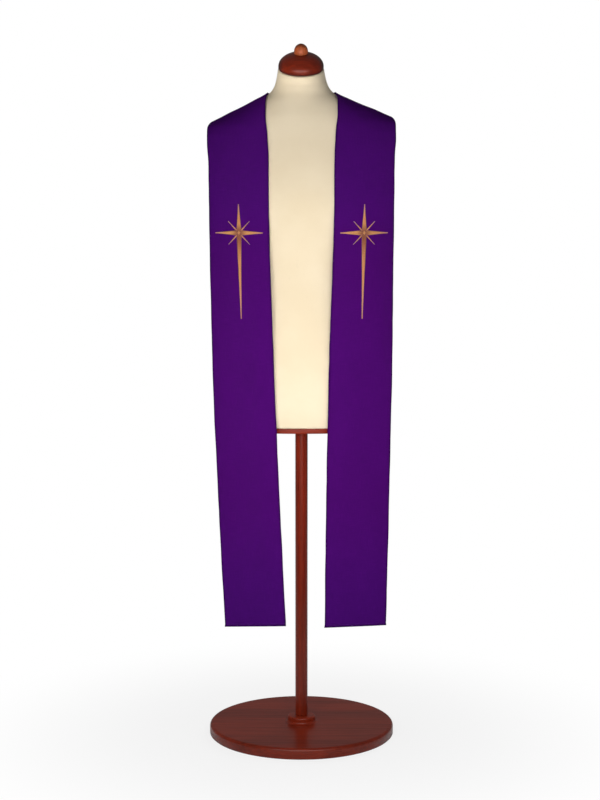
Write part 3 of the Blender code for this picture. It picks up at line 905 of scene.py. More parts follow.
def pale_floor(studio):
    """Pale floor that runs out into the backdrop: shaded near the stand and even further off."""
    finish = Finish("pale_floor", Roughness=0.9, Specular_IOR_Level=0.1)
    across, deep, _ = finish.parts(finish.place("Object"))
    away = (across * across + deep * deep) ** 0.5
    tint = tuple(studio.backdrop)
    finish.shade(Base_Color=tuple(0.86 * c for c in tint))
    glow = finish.node("ShaderNodeEmission", inputs={"Color": (*tint, 1), "Strength": 1.0})
    seen = finish.node("ShaderNodeLightPath").outputs["Is Camera Ray"]
    share = Number(finish, seen) * (0.80 + 0.20 * away.between(0.20, 0.95))
    shaders = {1: finish.shader.outputs[0], 2: glow.outputs[0]}
    blend = finish.node("ShaderNodeMixShader", inputs={0: share, **shaders})
    finish.links.new(blend.outputs[0], finish.nodes["Material Output"].inputs["Surface"])
    return finish.material


# ---------------------------------------------------------------------------------------------
# The band's shape
# ---------------------------------------------------------------------------------------------

CHEST_SOFTENING = 0.030  # the cloth turns from hanging to lying on the chest over this height
CHEST_REACH = 0.090
EDGE_WANDER = 0.0004  # the edges stray this far from a ruled line
EDGE_ROUND = 0.0011  # how far the rounding of an edge reaches in
EDGE_GROOVE = 0.0002  # the seam along the edge draws in this far
HEM_ROUND = 0.0015
HEM_RISE = 0.00050  # each face stands out this far over the turned-up hem
HEM_FLARE = 0.0009  # the hem is wider than the band by this at each corner
SEAM_ROUND = 0.0014
SEAM_FLOOR = 0.45  # share of the wall left at the bottom of the back seam's groove
COLUMNS = 60
ROWS_HEM = 18
ROWS_HANG = 280
ROWS_FRONT = 76
ROWS_BACK = 78
HEM_ZONE = 0.014
FOLD_STEP = 0.0025  # the extra thickness over a fold dies away over this distance
HEM_STEP = 0.0012
GROOVE_TURN = 0.35  # share of the edge's rounding, in radians, that the edge seam takes up
FLARE_REACH = 0.0045
SEAM_CALM = 0.030  # creases and stray fade out this close to the back seam
SEAM_SHARE = 0.98  # rows crowd together past this share of the way to the seam
NUDGE = 0.001  # step for the cloth's slope, as a share of its width and in metres up it


def strip_x(side, t, z):
    """Distance from the centre plane of the line t (0 inner edge, 1 outer edge) at height z."""
    arc_centre_z = TIP_Z - TIP_RADIUS * cos(TIP_SLOPE)
    rise = np.clip(z - arc_centre_z, 0, TIP_RADIUS)
    rounding = TIP_RADIUS - np.sqrt(TIP_RADIUS**2 - rise**2)
    inner = read(side.edges, "inner", z)
    outer = read(side.edges, "outer", z) - np.minimum(rounding, TIP_INSET)
    return inner + (outer - inner) * t


def ridge_z(side, t):
    """Height where the line t crosses the top of the shoulder, by halving the interval."""
    low = np.full_like(t, DRAPE[3].z)
    high = np.full_like(t, DRAPE[-1].z)
    for _ in range(HALVINGS):
        middle = (low + high) / 2
        inside = read(DRAPE, "half_width", middle) > strip_x(side, t, middle)
        low = np.where(inside, middle, low)
        high = np.where(inside, high, middle)
    return (low + high) / 2


def drape_y(x, z, depth_column, sign):
    """The drape's front (sign -1) or back (sign 1): centre plus depth times sqrt(1 - (x / w)^2)."""
    share = np.clip(x / read(DRAPE, "half_width", z), 0, 1)
    depth = read(DRAPE, depth_column, z)
    return read(DRAPE, "centre_y", z) + sign * depth * np.sqrt(1 - share**2)


def hem_skew(side, t, z):
    """How far a level line of the hanging cloth rises at t: the hem's slope times a smooth fade."""
    return -side.hem_drop * (t - 0.5) * (1 - smooth_step((z - HEM_Z) / HEM_SKEW_REACH))


def front_y(side, t, z):
    """Depth in front at height z: on the drape down to the chest, then easing to the hem's own line."""
    on_chest = np.maximum(z, CHEST_Z)
    chest = drape_y(strip_x(side, t, on_chest), on_chest, "front", -1)
    hem = HEM_INNER_Y + (HEM_OUTER_Y - HEM_INNER_Y) * t - HEM_CROWN * 4 * t * (1 - t)
    return chest + (hem - chest) * smooth_step((CHEST_Z - z) / (CHEST_Z - HEM_Z))


def front_middle(side, t, z):
    """The cloth's middle in front. Near the chest the depth is a weighted mean over nearby heights."""
    x = strip_x(side, t, z)
    reach = CHEST_SOFTENING * (1 - smooth_step(np.abs(z - CHEST_Z) / CHEST_REACH))
    weights = {-1.0: 1, -0.5: 2, 0.0: 3, 0.5: 2, 1.0: 1}
    y = sum(weight * front_y(side, t, z + step * reach) for step, weight in weights.items())
    return lean(np.stack([side.sign * x, y / sum(weights.values()), z], axis=-1))


def back_middle(side, t, v):
    """The cloth's middle from the top of the shoulder (v = 0) round the nape to the seam (v = 1)."""
    top = ridge_z(side, t)
    seam = SEAM_TOP_Z - SEAM_DROP * t
    z = top + (seam - top) * v**BACK_FALL
    x = np.maximum(read(DRAPE, "half_width", z) * np.cos(v * pi / 2), 0)
    return lean(np.stack([side.sign * x, drape_y(x, z, "back", 1), z], axis=-1))


def relief(side, t, along):
    """How far the creases move the cloth out: a sum of turned, stretched bell shapes."""
    out = np.zeros(np.broadcast(t, along).shape)
    across = (t - 0.5) * STOLE_WIDTH
    for crease in side.creases:
        turn = radians(crease.turn)
        up, out_of_line = along - crease.along, across - crease.across
        lengthwise = (up * cos(turn) + out_of_line * sin(turn)) / crease.length
        sideways = (out_of_line * cos(turn) - up * sin(turn)) / crease.width
        out += crease.height * np.exp(-(lengthwise**2) - sideways**2)
    return out


def wander(side, t, along):
    """Small stray of the long edges within the cloth: a few sines of given lengths."""
    phase = 0.8 if side.sign < 0 else 2.3
    inner = np.sin(along * 21.0 + phase) + 0.6 * np.sin(along * 47.0 + 2 * phase)
    outer = np.sin(along * 17.0 - phase) + 0.6 * np.sin(along * 53.0 + phase)
    return EDGE_WANDER * (inner * (1 - t) ** 3 + outer * t**3)


def half_wall(cloth, edge_gap, hem_gap):
    """Half the cloth's thickness, greater over the turned-in edges and the hem."""
    fold = 1 - smooth_step((edge_gap - cloth.fold_width) / FOLD_STEP + 0.5)
    hem = 1 - smooth_step((hem_gap - cloth.hem_depth) / HEM_STEP + 0.5)
    return cloth.wall / 2 + cloth.fold_rise * fold + HEM_RISE * hem


def on_cloth(side, cloth, across, z, lift):
    """Points and outward directions at the given distance across the band from its middle line,
    the height z and the lift above the front face, on the hanging stretch."""
    t = 0.5 + across / STOLE_WIDTH
    wide = front_middle(side, t + NUDGE, z) - front_middle(side, t - NUDGE, z)
    high = front_middle(side, t, z + NUDGE) - front_middle(side, t, z - NUDGE)
    out = unit(np.cross(wide, high) * side.sign)
    edge_gap = (0.5 - np.abs(t - 0.5)) * STOLE_WIDTH
    along = z - HEM_Z - hem_skew(side, t, z)
    face = relief(side, t, along) + half_wall(cloth, edge_gap, along)
    return front_middle(side, t, z) + out * (face + lift)[..., None], out


def band_mesh(side, cloth):
    """One half of the stole as a closed shell.

    Rows run from the hem to the back seam, and columns round the wall: over the front face from
    the inner to the outer edge and back over the other face. Each point is the cloth's middle
    plus the outward direction times the creases' relief, plus or minus half the wall, which a
    quarter sine rounds off to nothing at the edges.
    """
    turn = quarter_turn(5)
    inset = EDGE_ROUND * (1 - np.cos(turn)) + EDGE_GROOVE * np.exp(-((turn / GROOVE_TURN) ** 2))
    flat = np.linspace(EDGE_ROUND, STOLE_WIDTH - EDGE_ROUND, COLUMNS + 1)[1:-1]
    t = np.concatenate([inset, flat, STOLE_WIDTH - inset[::-1]])[None, :] / STOLE_WIDTH
    t_round = np.concatenate([np.sin(turn), np.ones_like(flat), np.sin(turn[::-1])])
    hem_turn = quarter_turn(6)
    hem_z = np.concatenate([
        HEM_Z + HEM_ROUND * (1 - np.cos(hem_turn)),
        np.linspace(HEM_Z + HEM_ROUND, HEM_Z + HEM_ZONE, ROWS_HEM + 1)[1:],
        np.linspace(HEM_Z + HEM_ZONE, CHEST_Z, ROWS_HANG + 1)[1:-1],
    ])[:, None]
    hem_round = np.ones(len(hem_z))
    hem_round[: len(hem_turn)] = np.sin(hem_turn)
    hem_z = hem_z + hem_skew(side, t, hem_z)
    climb = np.linspace(1, 0, ROWS_FRONT + 1)[:-1, None]
    top = ridge_z(side, t)
    front_z = top - (top - CHEST_Z) * (1 - np.cos(climb * pi / 2))
    seam_rows = 1 - (1 - SEAM_SHARE) * np.linspace(1, 0, 10) ** 2
    v = np.concatenate([np.linspace(0, SEAM_SHARE, ROWS_BACK + 1)[:-1], seam_rows, [1.0]])[:, None]
    middle = np.concatenate([
        front_middle(side, *np.broadcast_arrays(t, hem_z)),
        front_middle(side, *np.broadcast_arrays(t, front_z)),
        back_middle(side, *np.broadcast_arrays(t, v)),
    ])
    centre_line = middle[:, t.shape[1] // 2]
    steps = np.linalg.norm(np.diff(centre_line, axis=0), axis=1)
    along = np.concatenate([[0], np.cumsum(steps)])[:, None]
    wide = unit(np.gradient(middle, axis=1))
    high = np.gradient(middle[:-1], axis=0)
    high = unit(np.concatenate([high, high[-1:]]))
    out = unit(np.cross(wide, high) * side.sign)
    row_round = np.ones(len(middle))
    row_round[: len(hem_round)] = hem_round
    in_front = np.arange(len(middle)) < len(middle) - len(v)
    seam_gap = np.abs(middle[..., 0]) + in_front[:, None]
    dip = np.sqrt(1 - (1 - np.clip(seam_gap / SEAM_ROUND, 0, 1)) ** 2)
    edge_gap = (0.5 - np.abs(t - 0.5)) * STOLE_WIDTH
    wall = half_wall(cloth, edge_gap, along) * t_round * row_round[:, None]
    wall = wall * (SEAM_FLOOR + (1 - SEAM_FLOOR) * dip)
    wall[-1] = 0
    flare = HEM_FLARE * np.exp(-((along / FLARE_REACH) ** 2)) * (2 * t - 1)
    seam_fade = smooth_step(seam_gap / SEAM_CALM)
    middle = middle + wide * (flare + wander(side, t, along) * seam_fade)[..., None]
    middle = middle + out * (relief(side, t, along) * seam_fade)[..., None]
    front, back = middle + out * wall[..., None], middle - out * wall[..., None]
    points = np.concatenate([front, back[:, ::-1]], axis=1)
    loop = np.concatenate([np.arange(points.shape[1]), [0]])
    points = points[:, loop]
    across = np.broadcast_to((t - 0.5) * STOLE_WIDTH, wall.shape)
    around = np.concatenate([across, -across[:, ::-1] + STOLE_WIDTH], axis=1)[:, loop]
    around[:, -1] = around[:, -2]
    uv = np.stack(np.broadcast_arrays(around, along), axis=-1)
    gap = np.broadcast_to(edge_gap, wall.shape)
    gap = np.concatenate([gap, gap[:, ::-1]], axis=1)[:, loop]
    hem_gap = np.broadcast_to(along, gap.shape)
    quads = grid_quads(*points.shape[:2])
    return new_mesh(f"stole_{side.name}_cloth", points, [quads], uv, edge_gap=gap, hem_gap=hem_gap)


STITCH_INSET = 0.004  # from the band's edge to the first stitch of the hem
STITCH_SHARE = 0.8  # share of the pitch that a stitch covers
STITCH_ARCH = 0.00016
STITCH_SINK = 0.00012  # the ends of a stitch lie this far below the face
STITCH_WAVER = 0.00035
STITCH_RADIUS = 0.00021
ALONG_STITCH = np.linspace(0, 1, 7)[None, :]  # the places along a stitch that have points


def hem_stitch_mesh(side, cloth):
    """A row of machine stitches just above the hem: short thread arches that dip into the cloth."""
    count = int((STOLE_WIDTH - 2 * STITCH_INSET) / cloth.stitch_pitch)
    start = -STOLE_WIDTH / 2 + STITCH_INSET + np.arange(count)[:, None] * cloth.stitch_pitch
    across = start + ALONG_STITCH * cloth.stitch_pitch * STITCH_SHARE
    lift = STITCH_ARCH * np.sin(pi * ALONG_STITCH) ** 0.6 - STITCH_SINK + np.zeros_like(across)
    level = HEM_Z + cloth.hem_depth + STITCH_WAVER * np.sin(np.arange(count) * 1.7)[:, None]
    level = level + hem_skew(side, 0.5 + across / STOLE_WIDTH, level)
    path, out = on_cloth(side, cloth, across, level, lift)
    radius = STITCH_RADIUS * np.sin(pi * ALONG_STITCH) ** 0.4 + np.zeros_like(across)
    points, quads, uv = tubes(path, out, np.stack([radius, radius], axis=-1), 6)
    return new_mesh(f"stole_{side.name}_hem_stitches", points, [quads], uv)


# ---------------------------------------------------------------------------------------------
# The crosses
# ---------------------------------------------------------------------------------------------

STAR_START = 0.0020  # the stitches of arms and rays start this far from the crossing
CENTRE_HALF = 0.0050  # half the width of the lozenge over their starts
THREAD_SINK = 0.0002  # a satin stitch's ends lie this far below the cloth's face
OUTLINE_SINK = 0.0001
MIDDLE_OVERLAP = 0.00012  # the stitches of an arm's two sides cross its middle line by this
CENTRE_OVERLAP = 0.0002  # those of the lozenge reach this far past its sides
PADDING_LIFT = 0.00006
PADDING_SHORT = 0.0006  # the padding ends this far before the tip
PADDING_TONE = 0.15
LEAN_SHARE = 0.9  # a stitch leans over at most this share of what is left of its arm
THREAD_SIDES = 5
PADDING_SIDES = 14
RAYS = [(1, 1), (1, -1), (-1, -1), (-1, 1)]


def arm_half_width(arm, reach):
    """Half-width of a pointed arm at a distance from the crossing: it grows straight to the root,
    and from there it is the tip's plus the rest times (1 - u)^taper."""
    u = np.clip((reach - CROSS_ROOT) / (arm.length - CROSS_ROOT), 0, 1)
    pointed = ARM_TIP + (ARM_ROOT - ARM_TIP) * (1 - u) ** ARM_TAPER
    return pointed * np.clip(reach / CROSS_ROOT, 0, 1)


def ray_half_width(reach):
    """Half-width of a ray at a distance from the crossing: straight out to the root, then straight
    down to the tip."""
    u = np.clip((reach - RAY_ROOT_AT) / RAY_LENGTH, 0, 1)
    return (RAY_ROOT + (RAY_TIP - RAY_ROOT) * u) * np.clip(reach / RAY_ROOT_AT, 0, 1)


def strand_tone(count, seed):
    """A tone for each thread, from 0 to 1, that drifts from one thread to the next."""
    index = np.arange(count)
    return 0.5 + 0.3 * np.sin(index * 0.71 + seed) + 0.2 * np.sin(index * 2.37 + 2 * seed)


def heading(across, up):
    """The direction across and up the band, and the one a quarter turn to its left."""
    return unit(np.array([across, up], float)), unit(np.array([-up, across], float))


def thread_part(side, cloth, flat, lift, radii, sides, strand, fade, outline=0):
    """Tubes on the cloth along lines (tubes, steps, 2), across and up from the crossing, with the
    values that colour them, each a number or an array for the tubes and their steps."""
    path, out = on_cloth(side, cloth, side.sign * flat[..., 0], CROSS_Z + flat[..., 1], lift)
    points, quads, uv = tubes(path, out, radii, sides)
    values = {"strand": strand, "fade": fade, "outline": outline}
    spread = {
        key: np.repeat(np.broadcast_to(value, lift.shape).ravel(), sides + 1)
        for key, value in values.items()
    }
    return points, quads, {"uv": uv, **spread}


def satin_part(side, cloth, work, starts, ends, rise, tones, fades):
    """Thread arches from start to end points (n, 2), across and up from the crossing.

    Each follows the straight line between its ends, lifted by rise times 1 - (2q - 1)^4, and
    sinks into the cloth at both ends.
    """
    flat = starts[:, None] + (ends - starts)[:, None] * ALONG_STITCH[..., None]
    arch = 1 - (2 * ALONG_STITCH - 1) ** 4
    lift = (rise[:, None] + THREAD_SINK) * arch - THREAD_SINK
    radius = work.thread / 2 * np.sin(pi * ALONG_STITCH) ** 0.3 + np.zeros_like(lift)
    radii = np.stack([radius, radius], axis=-1)
    return thread_part(side, cloth, flat, lift, radii, THREAD_SIDES, tones[:, None], fades[:, None])


def arm_parts(side, cloth, work, arm, seed):
    """Satin stitches that leave an arm's middle line to both sides and lean towards its tip,
    and the flattened roll of padding under them."""
    along, aside = heading(arm.across, arm.up)
    count = int((arm.length - STAR_START) / work.pitch)
    reach = STAR_START + (arm.length - STAR_START) * (np.arange(count) + 0.5) / count
    parts = []
    for hand in (1, -1):
        left = (arm.length - reach) * LEAN_SHARE
        shift = np.minimum(arm_half_width(arm, reach) * tan(work.slant), left)
        width = arm_half_width(arm, reach + shift) - work.thread * 0.3
        starts = reach[:, None] * along - hand * MIDDLE_OVERLAP * aside
        ends = (reach + shift)[:, None] * along + hand * width[:, None] * aside
        rise = work.rise * (0.6 + 0.4 * width / ARM_ROOT)
        tones = strand_tone(count, seed + hand)
        parts.append(satin_part(side, cloth, work, starts, ends, rise, tones, reach / arm.length))
    share = np.linspace(0, 1, 60)[None, :]
    reach = STAR_START + (arm.length - PADDING_SHORT - STAR_START) * share
    wide = np.maximum(arm_half_width(arm, reach) - work.thread * 0.6, work.thread * 0.2)
    closed = np.ones_like(share)
    closed[:, [0, -1]] = 0
    radii = np.stack([wide * closed, work.rise * 0.55 * closed], axis=-1)
    line, lift = reach[..., None] * along, np.full_like(share, PADDING_LIFT)
    padding = thread_part(side, cloth, line, lift, radii, PADDING_SIDES, PADDING_TONE, share)
    return [*parts, padding]


def ray_part(side, cloth, work, across, up, seed):
    """A short tapering ray between two arms: one column of slanting stitches."""
    along, aside = heading(across, up)
    tip = RAY_ROOT_AT + RAY_LENGTH
    count = int((tip - STAR_START) / work.pitch)
    share = (np.arange(count) + 0.5) / count
    reach = STAR_START + (tip - STAR_START) * share
    width = ray_half_width(reach)
    lean_by = np.minimum(width * tan(work.slant), (tip - reach) * LEAN_SHARE)
    starts = (reach - lean_by)[:, None] * along - width[:, None] * aside
    ends = (reach + lean_by)[:, None] * along + width[:, None] * aside
    rise = np.full(count, work.rise * 0.75)
    return satin_part(side, cloth, work, starts, ends, rise, strand_tone(count, seed), share)


def centre_part(side, cloth, work):
    """Stitches that cross the centre from side to side in a small raised lozenge."""
    count = int(2 * CENTRE_HALF / work.pitch)
    level = -CENTRE_HALF + 2 * CENTRE_HALF * (np.arange(count) + 0.5) / count
    width = CENTRE_HALF - np.abs(level) + CENTRE_OVERLAP
    starts = np.stack([-width, level], axis=-1)
    ends = np.stack([width, level], axis=-1)
    rise = work.rise * (1.75 - 0.5 * np.abs(level) / CENTRE_HALF)
    fades = np.full(count, 0.5)
    return satin_part(side, cloth, work, starts, ends, rise, strand_tone(count, 4.0), fades)


def outline_part(side, cloth, work, arm):
    """Stem stitch round one arm, from its root out to the tip and home again: each stitch starts
    beside the middle of the one before it."""
    along, aside = heading(arm.across, arm.up)
    reach = np.linspace(CROSS_ROOT, arm.length, 90)
    half = arm_half_width(arm, reach)
    out_side = reach[:, None] * along + half[:, None] * aside
    home_side = reach[::-1, None] * along - half[::-1, None] * aside
    route = np.concatenate([out_side, home_side])
    run = np.concatenate([[0], np.cumsum(np.linalg.norm(np.diff(route, axis=0), axis=1))])
    count = int((run[-1] - work.outline_stitch) / (work.outline_stitch * 0.5))
    start = (run[-1] - work.outline_stitch) * np.arange(count + 1)[:, None] / count
    at = start + ALONG_STITCH * work.outline_stitch
    flat = np.stack([np.interp(at, run, route[:, axis]) for axis in (0, 1)], axis=-1)
    forward = unit(np.gradient(flat, axis=1))
    beside = np.stack([forward[..., 1], -forward[..., 0]], axis=-1)
    flat = flat + beside * (work.thread * 0.35 * (2 * ALONG_STITCH - 1))[..., None]
    arch = np.sin(pi * ALONG_STITCH) ** 0.6 + np.zeros_like(at)
    lift = (work.rise * 0.62 + OUTLINE_SINK) * arch - OUTLINE_SINK
    radius = work.thread * 0.52 * np.sin(pi * ALONG_STITCH) ** 0.4 + np.zeros_like(at)
    radii = np.stack([radius, radius], axis=-1)
    tones = strand_tone(len(start), 1.0)[:, None]
    return thread_part(side, cloth, flat, lift, radii, THREAD_SIDES, tones, 0, outline=1)


def cross_mesh(side, cloth, work):
    """All the embroidery of one cross in one mesh."""
    parts = [centre_part(side, cloth, work)]
    for index, arm in enumerate(ARMS):
        parts += arm_parts(side, cloth, work, arm, 1.3 * index)
        parts.append(outline_part(side, cloth, work, arm))
    for index, (across, up) in enumerate(RAYS):
        parts.append(ray_part(side, cloth, work, across, up, 0.9 * index))
    points, quads, values = join_parts(parts)
    uv = values.pop("uv")
    return new_mesh(f"cross_{side.name}_embroidery", points, [quads], uv, **values)


# ---------------------------------------------------------------------------------------------
# The form and its stand
# ---------------------------------------------------------------------------------------------

COVER_EDGE = 0.004  # rounding where the cover turns under the torso
NECK_EDGE = 0.0022  # rounding where it turns in under the cap
SEAM_ANGLES = (0.0, pi / 2, pi)  # both sides and the centre of the back
SEAM_FAN = (0.004, 0.008, 0.013, 0.020, 0.030, 0.045)
SEAM_HALF_WIDTH = 0.0016
SEAM_NEAR = 0.2  # a seam draws in nothing further round the form than this angle
PLATE_EDGE = 0.0025
POLE_EASE = 0.0012
KNOB_GAP = CAP_GAP + CAP_HEIGHT + TOUCH_GAP  # from the neck's top to the foot of the knob


def form_ring(z, angle):
    """A section of the form at height z: x = w c |c|^(2/p - 1) and the same for the depth with
    the sine, tilted forward towards the top of the neck."""
    power = 2 / read(FORM, "power", z)
    cosine, sine = np.cos(angle), np.sin(angle)
    x = read(FORM, "half_width", z) * np.sign(cosine) * np.abs(cosine) ** power
    depth = np.where(sine < 0, read(FORM, "front", z), read(FORM, "back", z))
    y = depth * np.sign(sine) * np.abs(sine) ** power
    share = smooth_step((z - NECK_TILT_FROM_Z) / (FORM[-1].z - NECK_TILT_FROM_Z))
    height = z + y * np.tan(NECK_TILT * share)
    return lean(np.stack([x + NECK_ASIDE * share, y + read(FORM, "centre_y", z), height], axis=-1))


def cover_mesh(form):
    """The cover: sections from the hips to the neck, rounded in at the bottom, with seams drawn in
    at the sides and the back, and closed by a point in the middle of each end."""
    fan = np.concatenate([-np.array(SEAM_FAN[::-1]), [0], SEAM_FAN])
    near_seams = np.concatenate([(seam + fan) % (2 * pi) for seam in SEAM_ANGLES])
    even = np.linspace(0, 2 * pi, form.around, endpoint=False)
    apart = np.abs((even[:, None] - np.array(SEAM_ANGLES) + pi) % (2 * pi) - pi)
    angle = np.sort(np.concatenate([even[apart.min(axis=1) > SEAM_FAN[-1]], near_seams]))
    angle = np.concatenate([angle, [angle[0] + 2 * pi]])
    low, high = FORM[0].z, FORM[-1].z
    turn = quarter_turn(8)
    z = np.concatenate([
        low + COVER_EDGE * (1 - np.cos(turn)),
        np.linspace(low + COVER_EDGE, high - NECK_EDGE, 216)[1:-1],
        high - NECK_EDGE * (1 - np.sin(turn)),
    ])[:, None]
    points = form_ring(*np.broadcast_arrays(z, angle[None, :]))
    inward = np.zeros(len(z))
    inward[: len(turn)] = COVER_EDGE * (1 - np.sin(turn))
    inward[-len(turn) :] = NECK_EDGE * (1 - np.cos(turn))
    middle = points.mean(axis=1, keepdims=True)
    spoke = points - middle
    size = np.linalg.norm(spoke, axis=-1, keepdims=True)
    around = unit(np.gradient(points, axis=1))
    groove = np.zeros(points.shape[:2])
    for seam in SEAM_ANGLES:
        gap = (angle - seam + pi) % (2 * pi) - pi
        nearest = form_ring(*np.broadcast_arrays(z, np.array([[seam]])))
        distance = np.abs(np.sum((points - nearest) * around, axis=-1)) + (np.abs(gap) > SEAM_NEAR)
        groove += form.seam_depth * np.exp(-((distance / SEAM_HALF_WIDTH) ** 2))
    points = middle + spoke * (1 - (inward[:, None, None] + groove[..., None]) / size)
    ends = [np.broadcast_to(points[row].mean(axis=0), points[row].shape) for row in (0, -1)]
    points = np.concatenate([ends[0][None], points, ends[1][None]])
    ring = points[len(points) // 2]
    run = np.concatenate([[0], np.cumsum(np.linalg.norm(np.diff(ring, axis=0), axis=1))])
    height = np.concatenate([z[:1], z, z[-1:]])
    uv = np.stack(np.broadcast_arrays(run[None, :], height), axis=-1)
    return new_mesh("form_cover", points, [grid_quads(*points.shape[:2])], uv)


def arc(centre, radii, start, stop, steps):
    """Points of an elliptical arc; angles in degrees, 0 outwards and 90 upwards."""
    turn = np.radians(np.linspace(start, stop, steps + 1))
    return np.stack([centre[0] + radii[0] * np.cos(turn), centre[1] + radii[1] * np.sin(turn)], axis=-1)


def turned_points(profile, around):
    """A profile of (radius, height) swept round the upright axis."""
    angle = np.linspace(0, 2 * pi, around + 1)
    radius, height = profile[:, 0, None], profile[:, 1, None]
    return np.stack(np.broadcast_arrays(radius * np.cos(angle), radius * np.sin(angle), height), axis=-1)


def on_neck(points, lift):
    """Moves points from the upright axis to the sloping top of the neck, lift above it."""
    foot = np.array([NECK_ASIDE, FORM[-1].centre_y, FORM[-1].z])
    slope_y = np.array([0, cos(NECK_TILT), sin(NECK_TILT)])
    slope_z = np.array([0, -sin(NECK_TILT), cos(NECK_TILT)])
    sideways = np.array([1.0, 0, 0])
    x, y, z = points[..., 0, None], points[..., 1, None], points[..., 2, None] + lift
    return foot + x * sideways + y * slope_y + z * slope_z


def turned_mesh(name, points):
    mesh = new_mesh(name, points, [grid_quads(*points.shape[:2])])
    mesh.set_sharp_from_angle(angle=radians(50))
    return mesh


def cap_points(form):
    """The turned cap: a full dome over a short rounded rim."""
    flat_share = 1 - (CAP_FLAT_RADIUS / CAP_RADIUS) ** CAP_FULLNESS
    rise = (CAP_HEIGHT - CAP_RIM_HEIGHT) / flat_share ** (1 / CAP_FULLNESS)
    top = np.arccos((CAP_FLAT_RADIUS / CAP_RADIUS) ** (CAP_FULLNESS / 2))
    turn = np.linspace(top, 0, 61)
    power = 2 / CAP_FULLNESS
    height = CAP_RIM_HEIGHT + rise * np.sin(turn) ** power
    dome = np.stack([CAP_RADIUS * np.cos(turn) ** power, height], axis=-1)
    rounding = (CAP_RADIUS - CAP_FOOT_RADIUS, CAP_RIM_HEIGHT)
    foot = arc((CAP_FOOT_RADIUS, CAP_RIM_HEIGHT), rounding, 0, -90, 16)
    profile = np.concatenate([[(0, CAP_HEIGHT)], dome, foot[1:], [(0, 0)]])
    return on_neck(turned_points(profile, form.around), CAP_GAP)


def knob_points():
    """The round knob on the cap, cut flat where it is glued on."""
    centre = KNOB_RISE - KNOB_SINK
    cut = -np.degrees(np.arcsin(centre / KNOB_RISE))
    ball = arc((0, centre), (KNOB_RADIUS, KNOB_RISE), 90, cut, 48)
    ball[0, 0] = 0
    return on_neck(turned_points(np.concatenate([ball, [(0, 0)]]), 96), KNOB_GAP)


def plate_points(form):
    """The plate under the torso: the lowest section drawn in, with rounded edges."""
    angle = np.linspace(0, 2 * pi, form.around + 1)
    outline = form_ring(np.full_like(angle, FORM[0].z), angle)
    top = FORM[0].z - TOUCH_GAP
    turn = quarter_turn(5)
    inward = PLATE_EDGE * np.concatenate([1 - np.sin(turn), 1 - np.cos(turn)])
    level = np.concatenate([
        top - PLATE_THICKNESS + PLATE_EDGE * (1 - np.cos(turn)),
        top - PLATE_EDGE * (1 - np.sin(turn)),
    ])
    share = 1 - (PLATE_INSET + inward) / FORM[0].half_width
    points = np.empty((len(share), len(angle), 3))
    points[..., :2] = outline[None, :, :2] * share[:, None, None]
    points[..., 2] = level[:, None]
    ends = [np.broadcast_to((0, 0, level[row]), points[row].shape) for row in (0, -1)]
    return np.concatenate([ends[0][None], points, ends[1][None]])


def pole_points():
    """The pole: a straight rod with eased ends."""
    bottom = BASE_THICKNESS + BOSS_HEIGHT + TOUCH_GAP
    top = FORM[0].z - TOUCH_GAP - PLATE_THICKNESS - TOUCH_GAP
    ease = (POLE_EASE, POLE_EASE)
    lower = arc((POLE_RADIUS - POLE_EASE, bottom + POLE_EASE), ease, -90, 0, 5)
    upper = arc((POLE_RADIUS - POLE_EASE, top - POLE_EASE), ease, 0, 90, 5)
    level = np.linspace(bottom + POLE_EASE, top - POLE_EASE, 24)[1:-1]
    shaft = np.stack([np.full_like(level, POLE_RADIUS), level], axis=-1)
    profile = np.concatenate([[(0, bottom)], lower, shaft, upper, [(0, top)]])
    return turned_points(profile, 72)


def base_points(form):
    """The round base with its boss, hollow fillet, rounded edge and small foot chamfer."""
    boss_top = BASE_THICKNESS + BOSS_HEIGHT
    hollow = (BOSS_RADIUS + BOSS_FILLET, BASE_THICKNESS + BOSS_FILLET)
    edge = BASE_THICKNESS - BASE_EDGE
    radius = np.linspace(hollow[0], BASE_RADIUS - BASE_EDGE, 26)[1:-1]
    profile = np.concatenate([
        [(0, boss_top)],
        arc((BOSS_RADIUS - BOSS_EDGE, boss_top - BOSS_EDGE), (BOSS_EDGE, BOSS_EDGE), 90, 0, 10),
        arc(hollow, (BOSS_FILLET, BOSS_FILLET), 180, 270, 10),
        np.stack([radius, np.full_like(radius, BASE_THICKNESS)], axis=-1),
        arc((BASE_RADIUS - BASE_EDGE, edge), (BASE_EDGE, BASE_EDGE), 90, 0, 14),
        [(BASE_RADIUS, FOOT_CHAMFER), (BASE_RADIUS - FOOT_CHAMFER, 0), (0, 0)],
    ])
    return turned_points(profile, form.around)


# ---------------------------------------------------------------------------------------------
# Operators
# ---------------------------------------------------------------------------------------------


class STOLE_OT_bands(bpy.types.Operator):
    """Build the two bands of violet cloth and the stitching of their hems"""

    bl_idname = "stole.bands"
    bl_label = "Bands"

    def execute(self, context):
        cloth = context.scene.stole_cloth
        material = violet_cloth(cloth)
        thread = hem_thread(cloth)
        for side in SIDES:
            name = f"stole_{side.name}"
            new_piece(f"{name}_cloth", band_mesh(side, cloth), material, "violet_cloth", name)
            new_piece(f"{name}_hem_stitches", hem_stitch_mesh(side, cloth), thread, "violet_cloth")
        return {"FINISHED"}


class STOLE_OT_crosses(bpy.types.Operator):
    """Embroider a gold cross on each band"""

    bl_idname = "stole.crosses"
    bl_label = "Crosses"

    def execute(self, context):
        cloth, work = context.scene.stole_cloth, context.scene.stole_embroidery
        material = gold_thread(work)
        for side in SIDES:
            name = f"cross_{side.name}"
            mesh = cross_mesh(side, cloth, work)
            cross = new_piece(f"{name}_embroidery", mesh, material, "gold_thread", name)
        return {"FINISHED"}


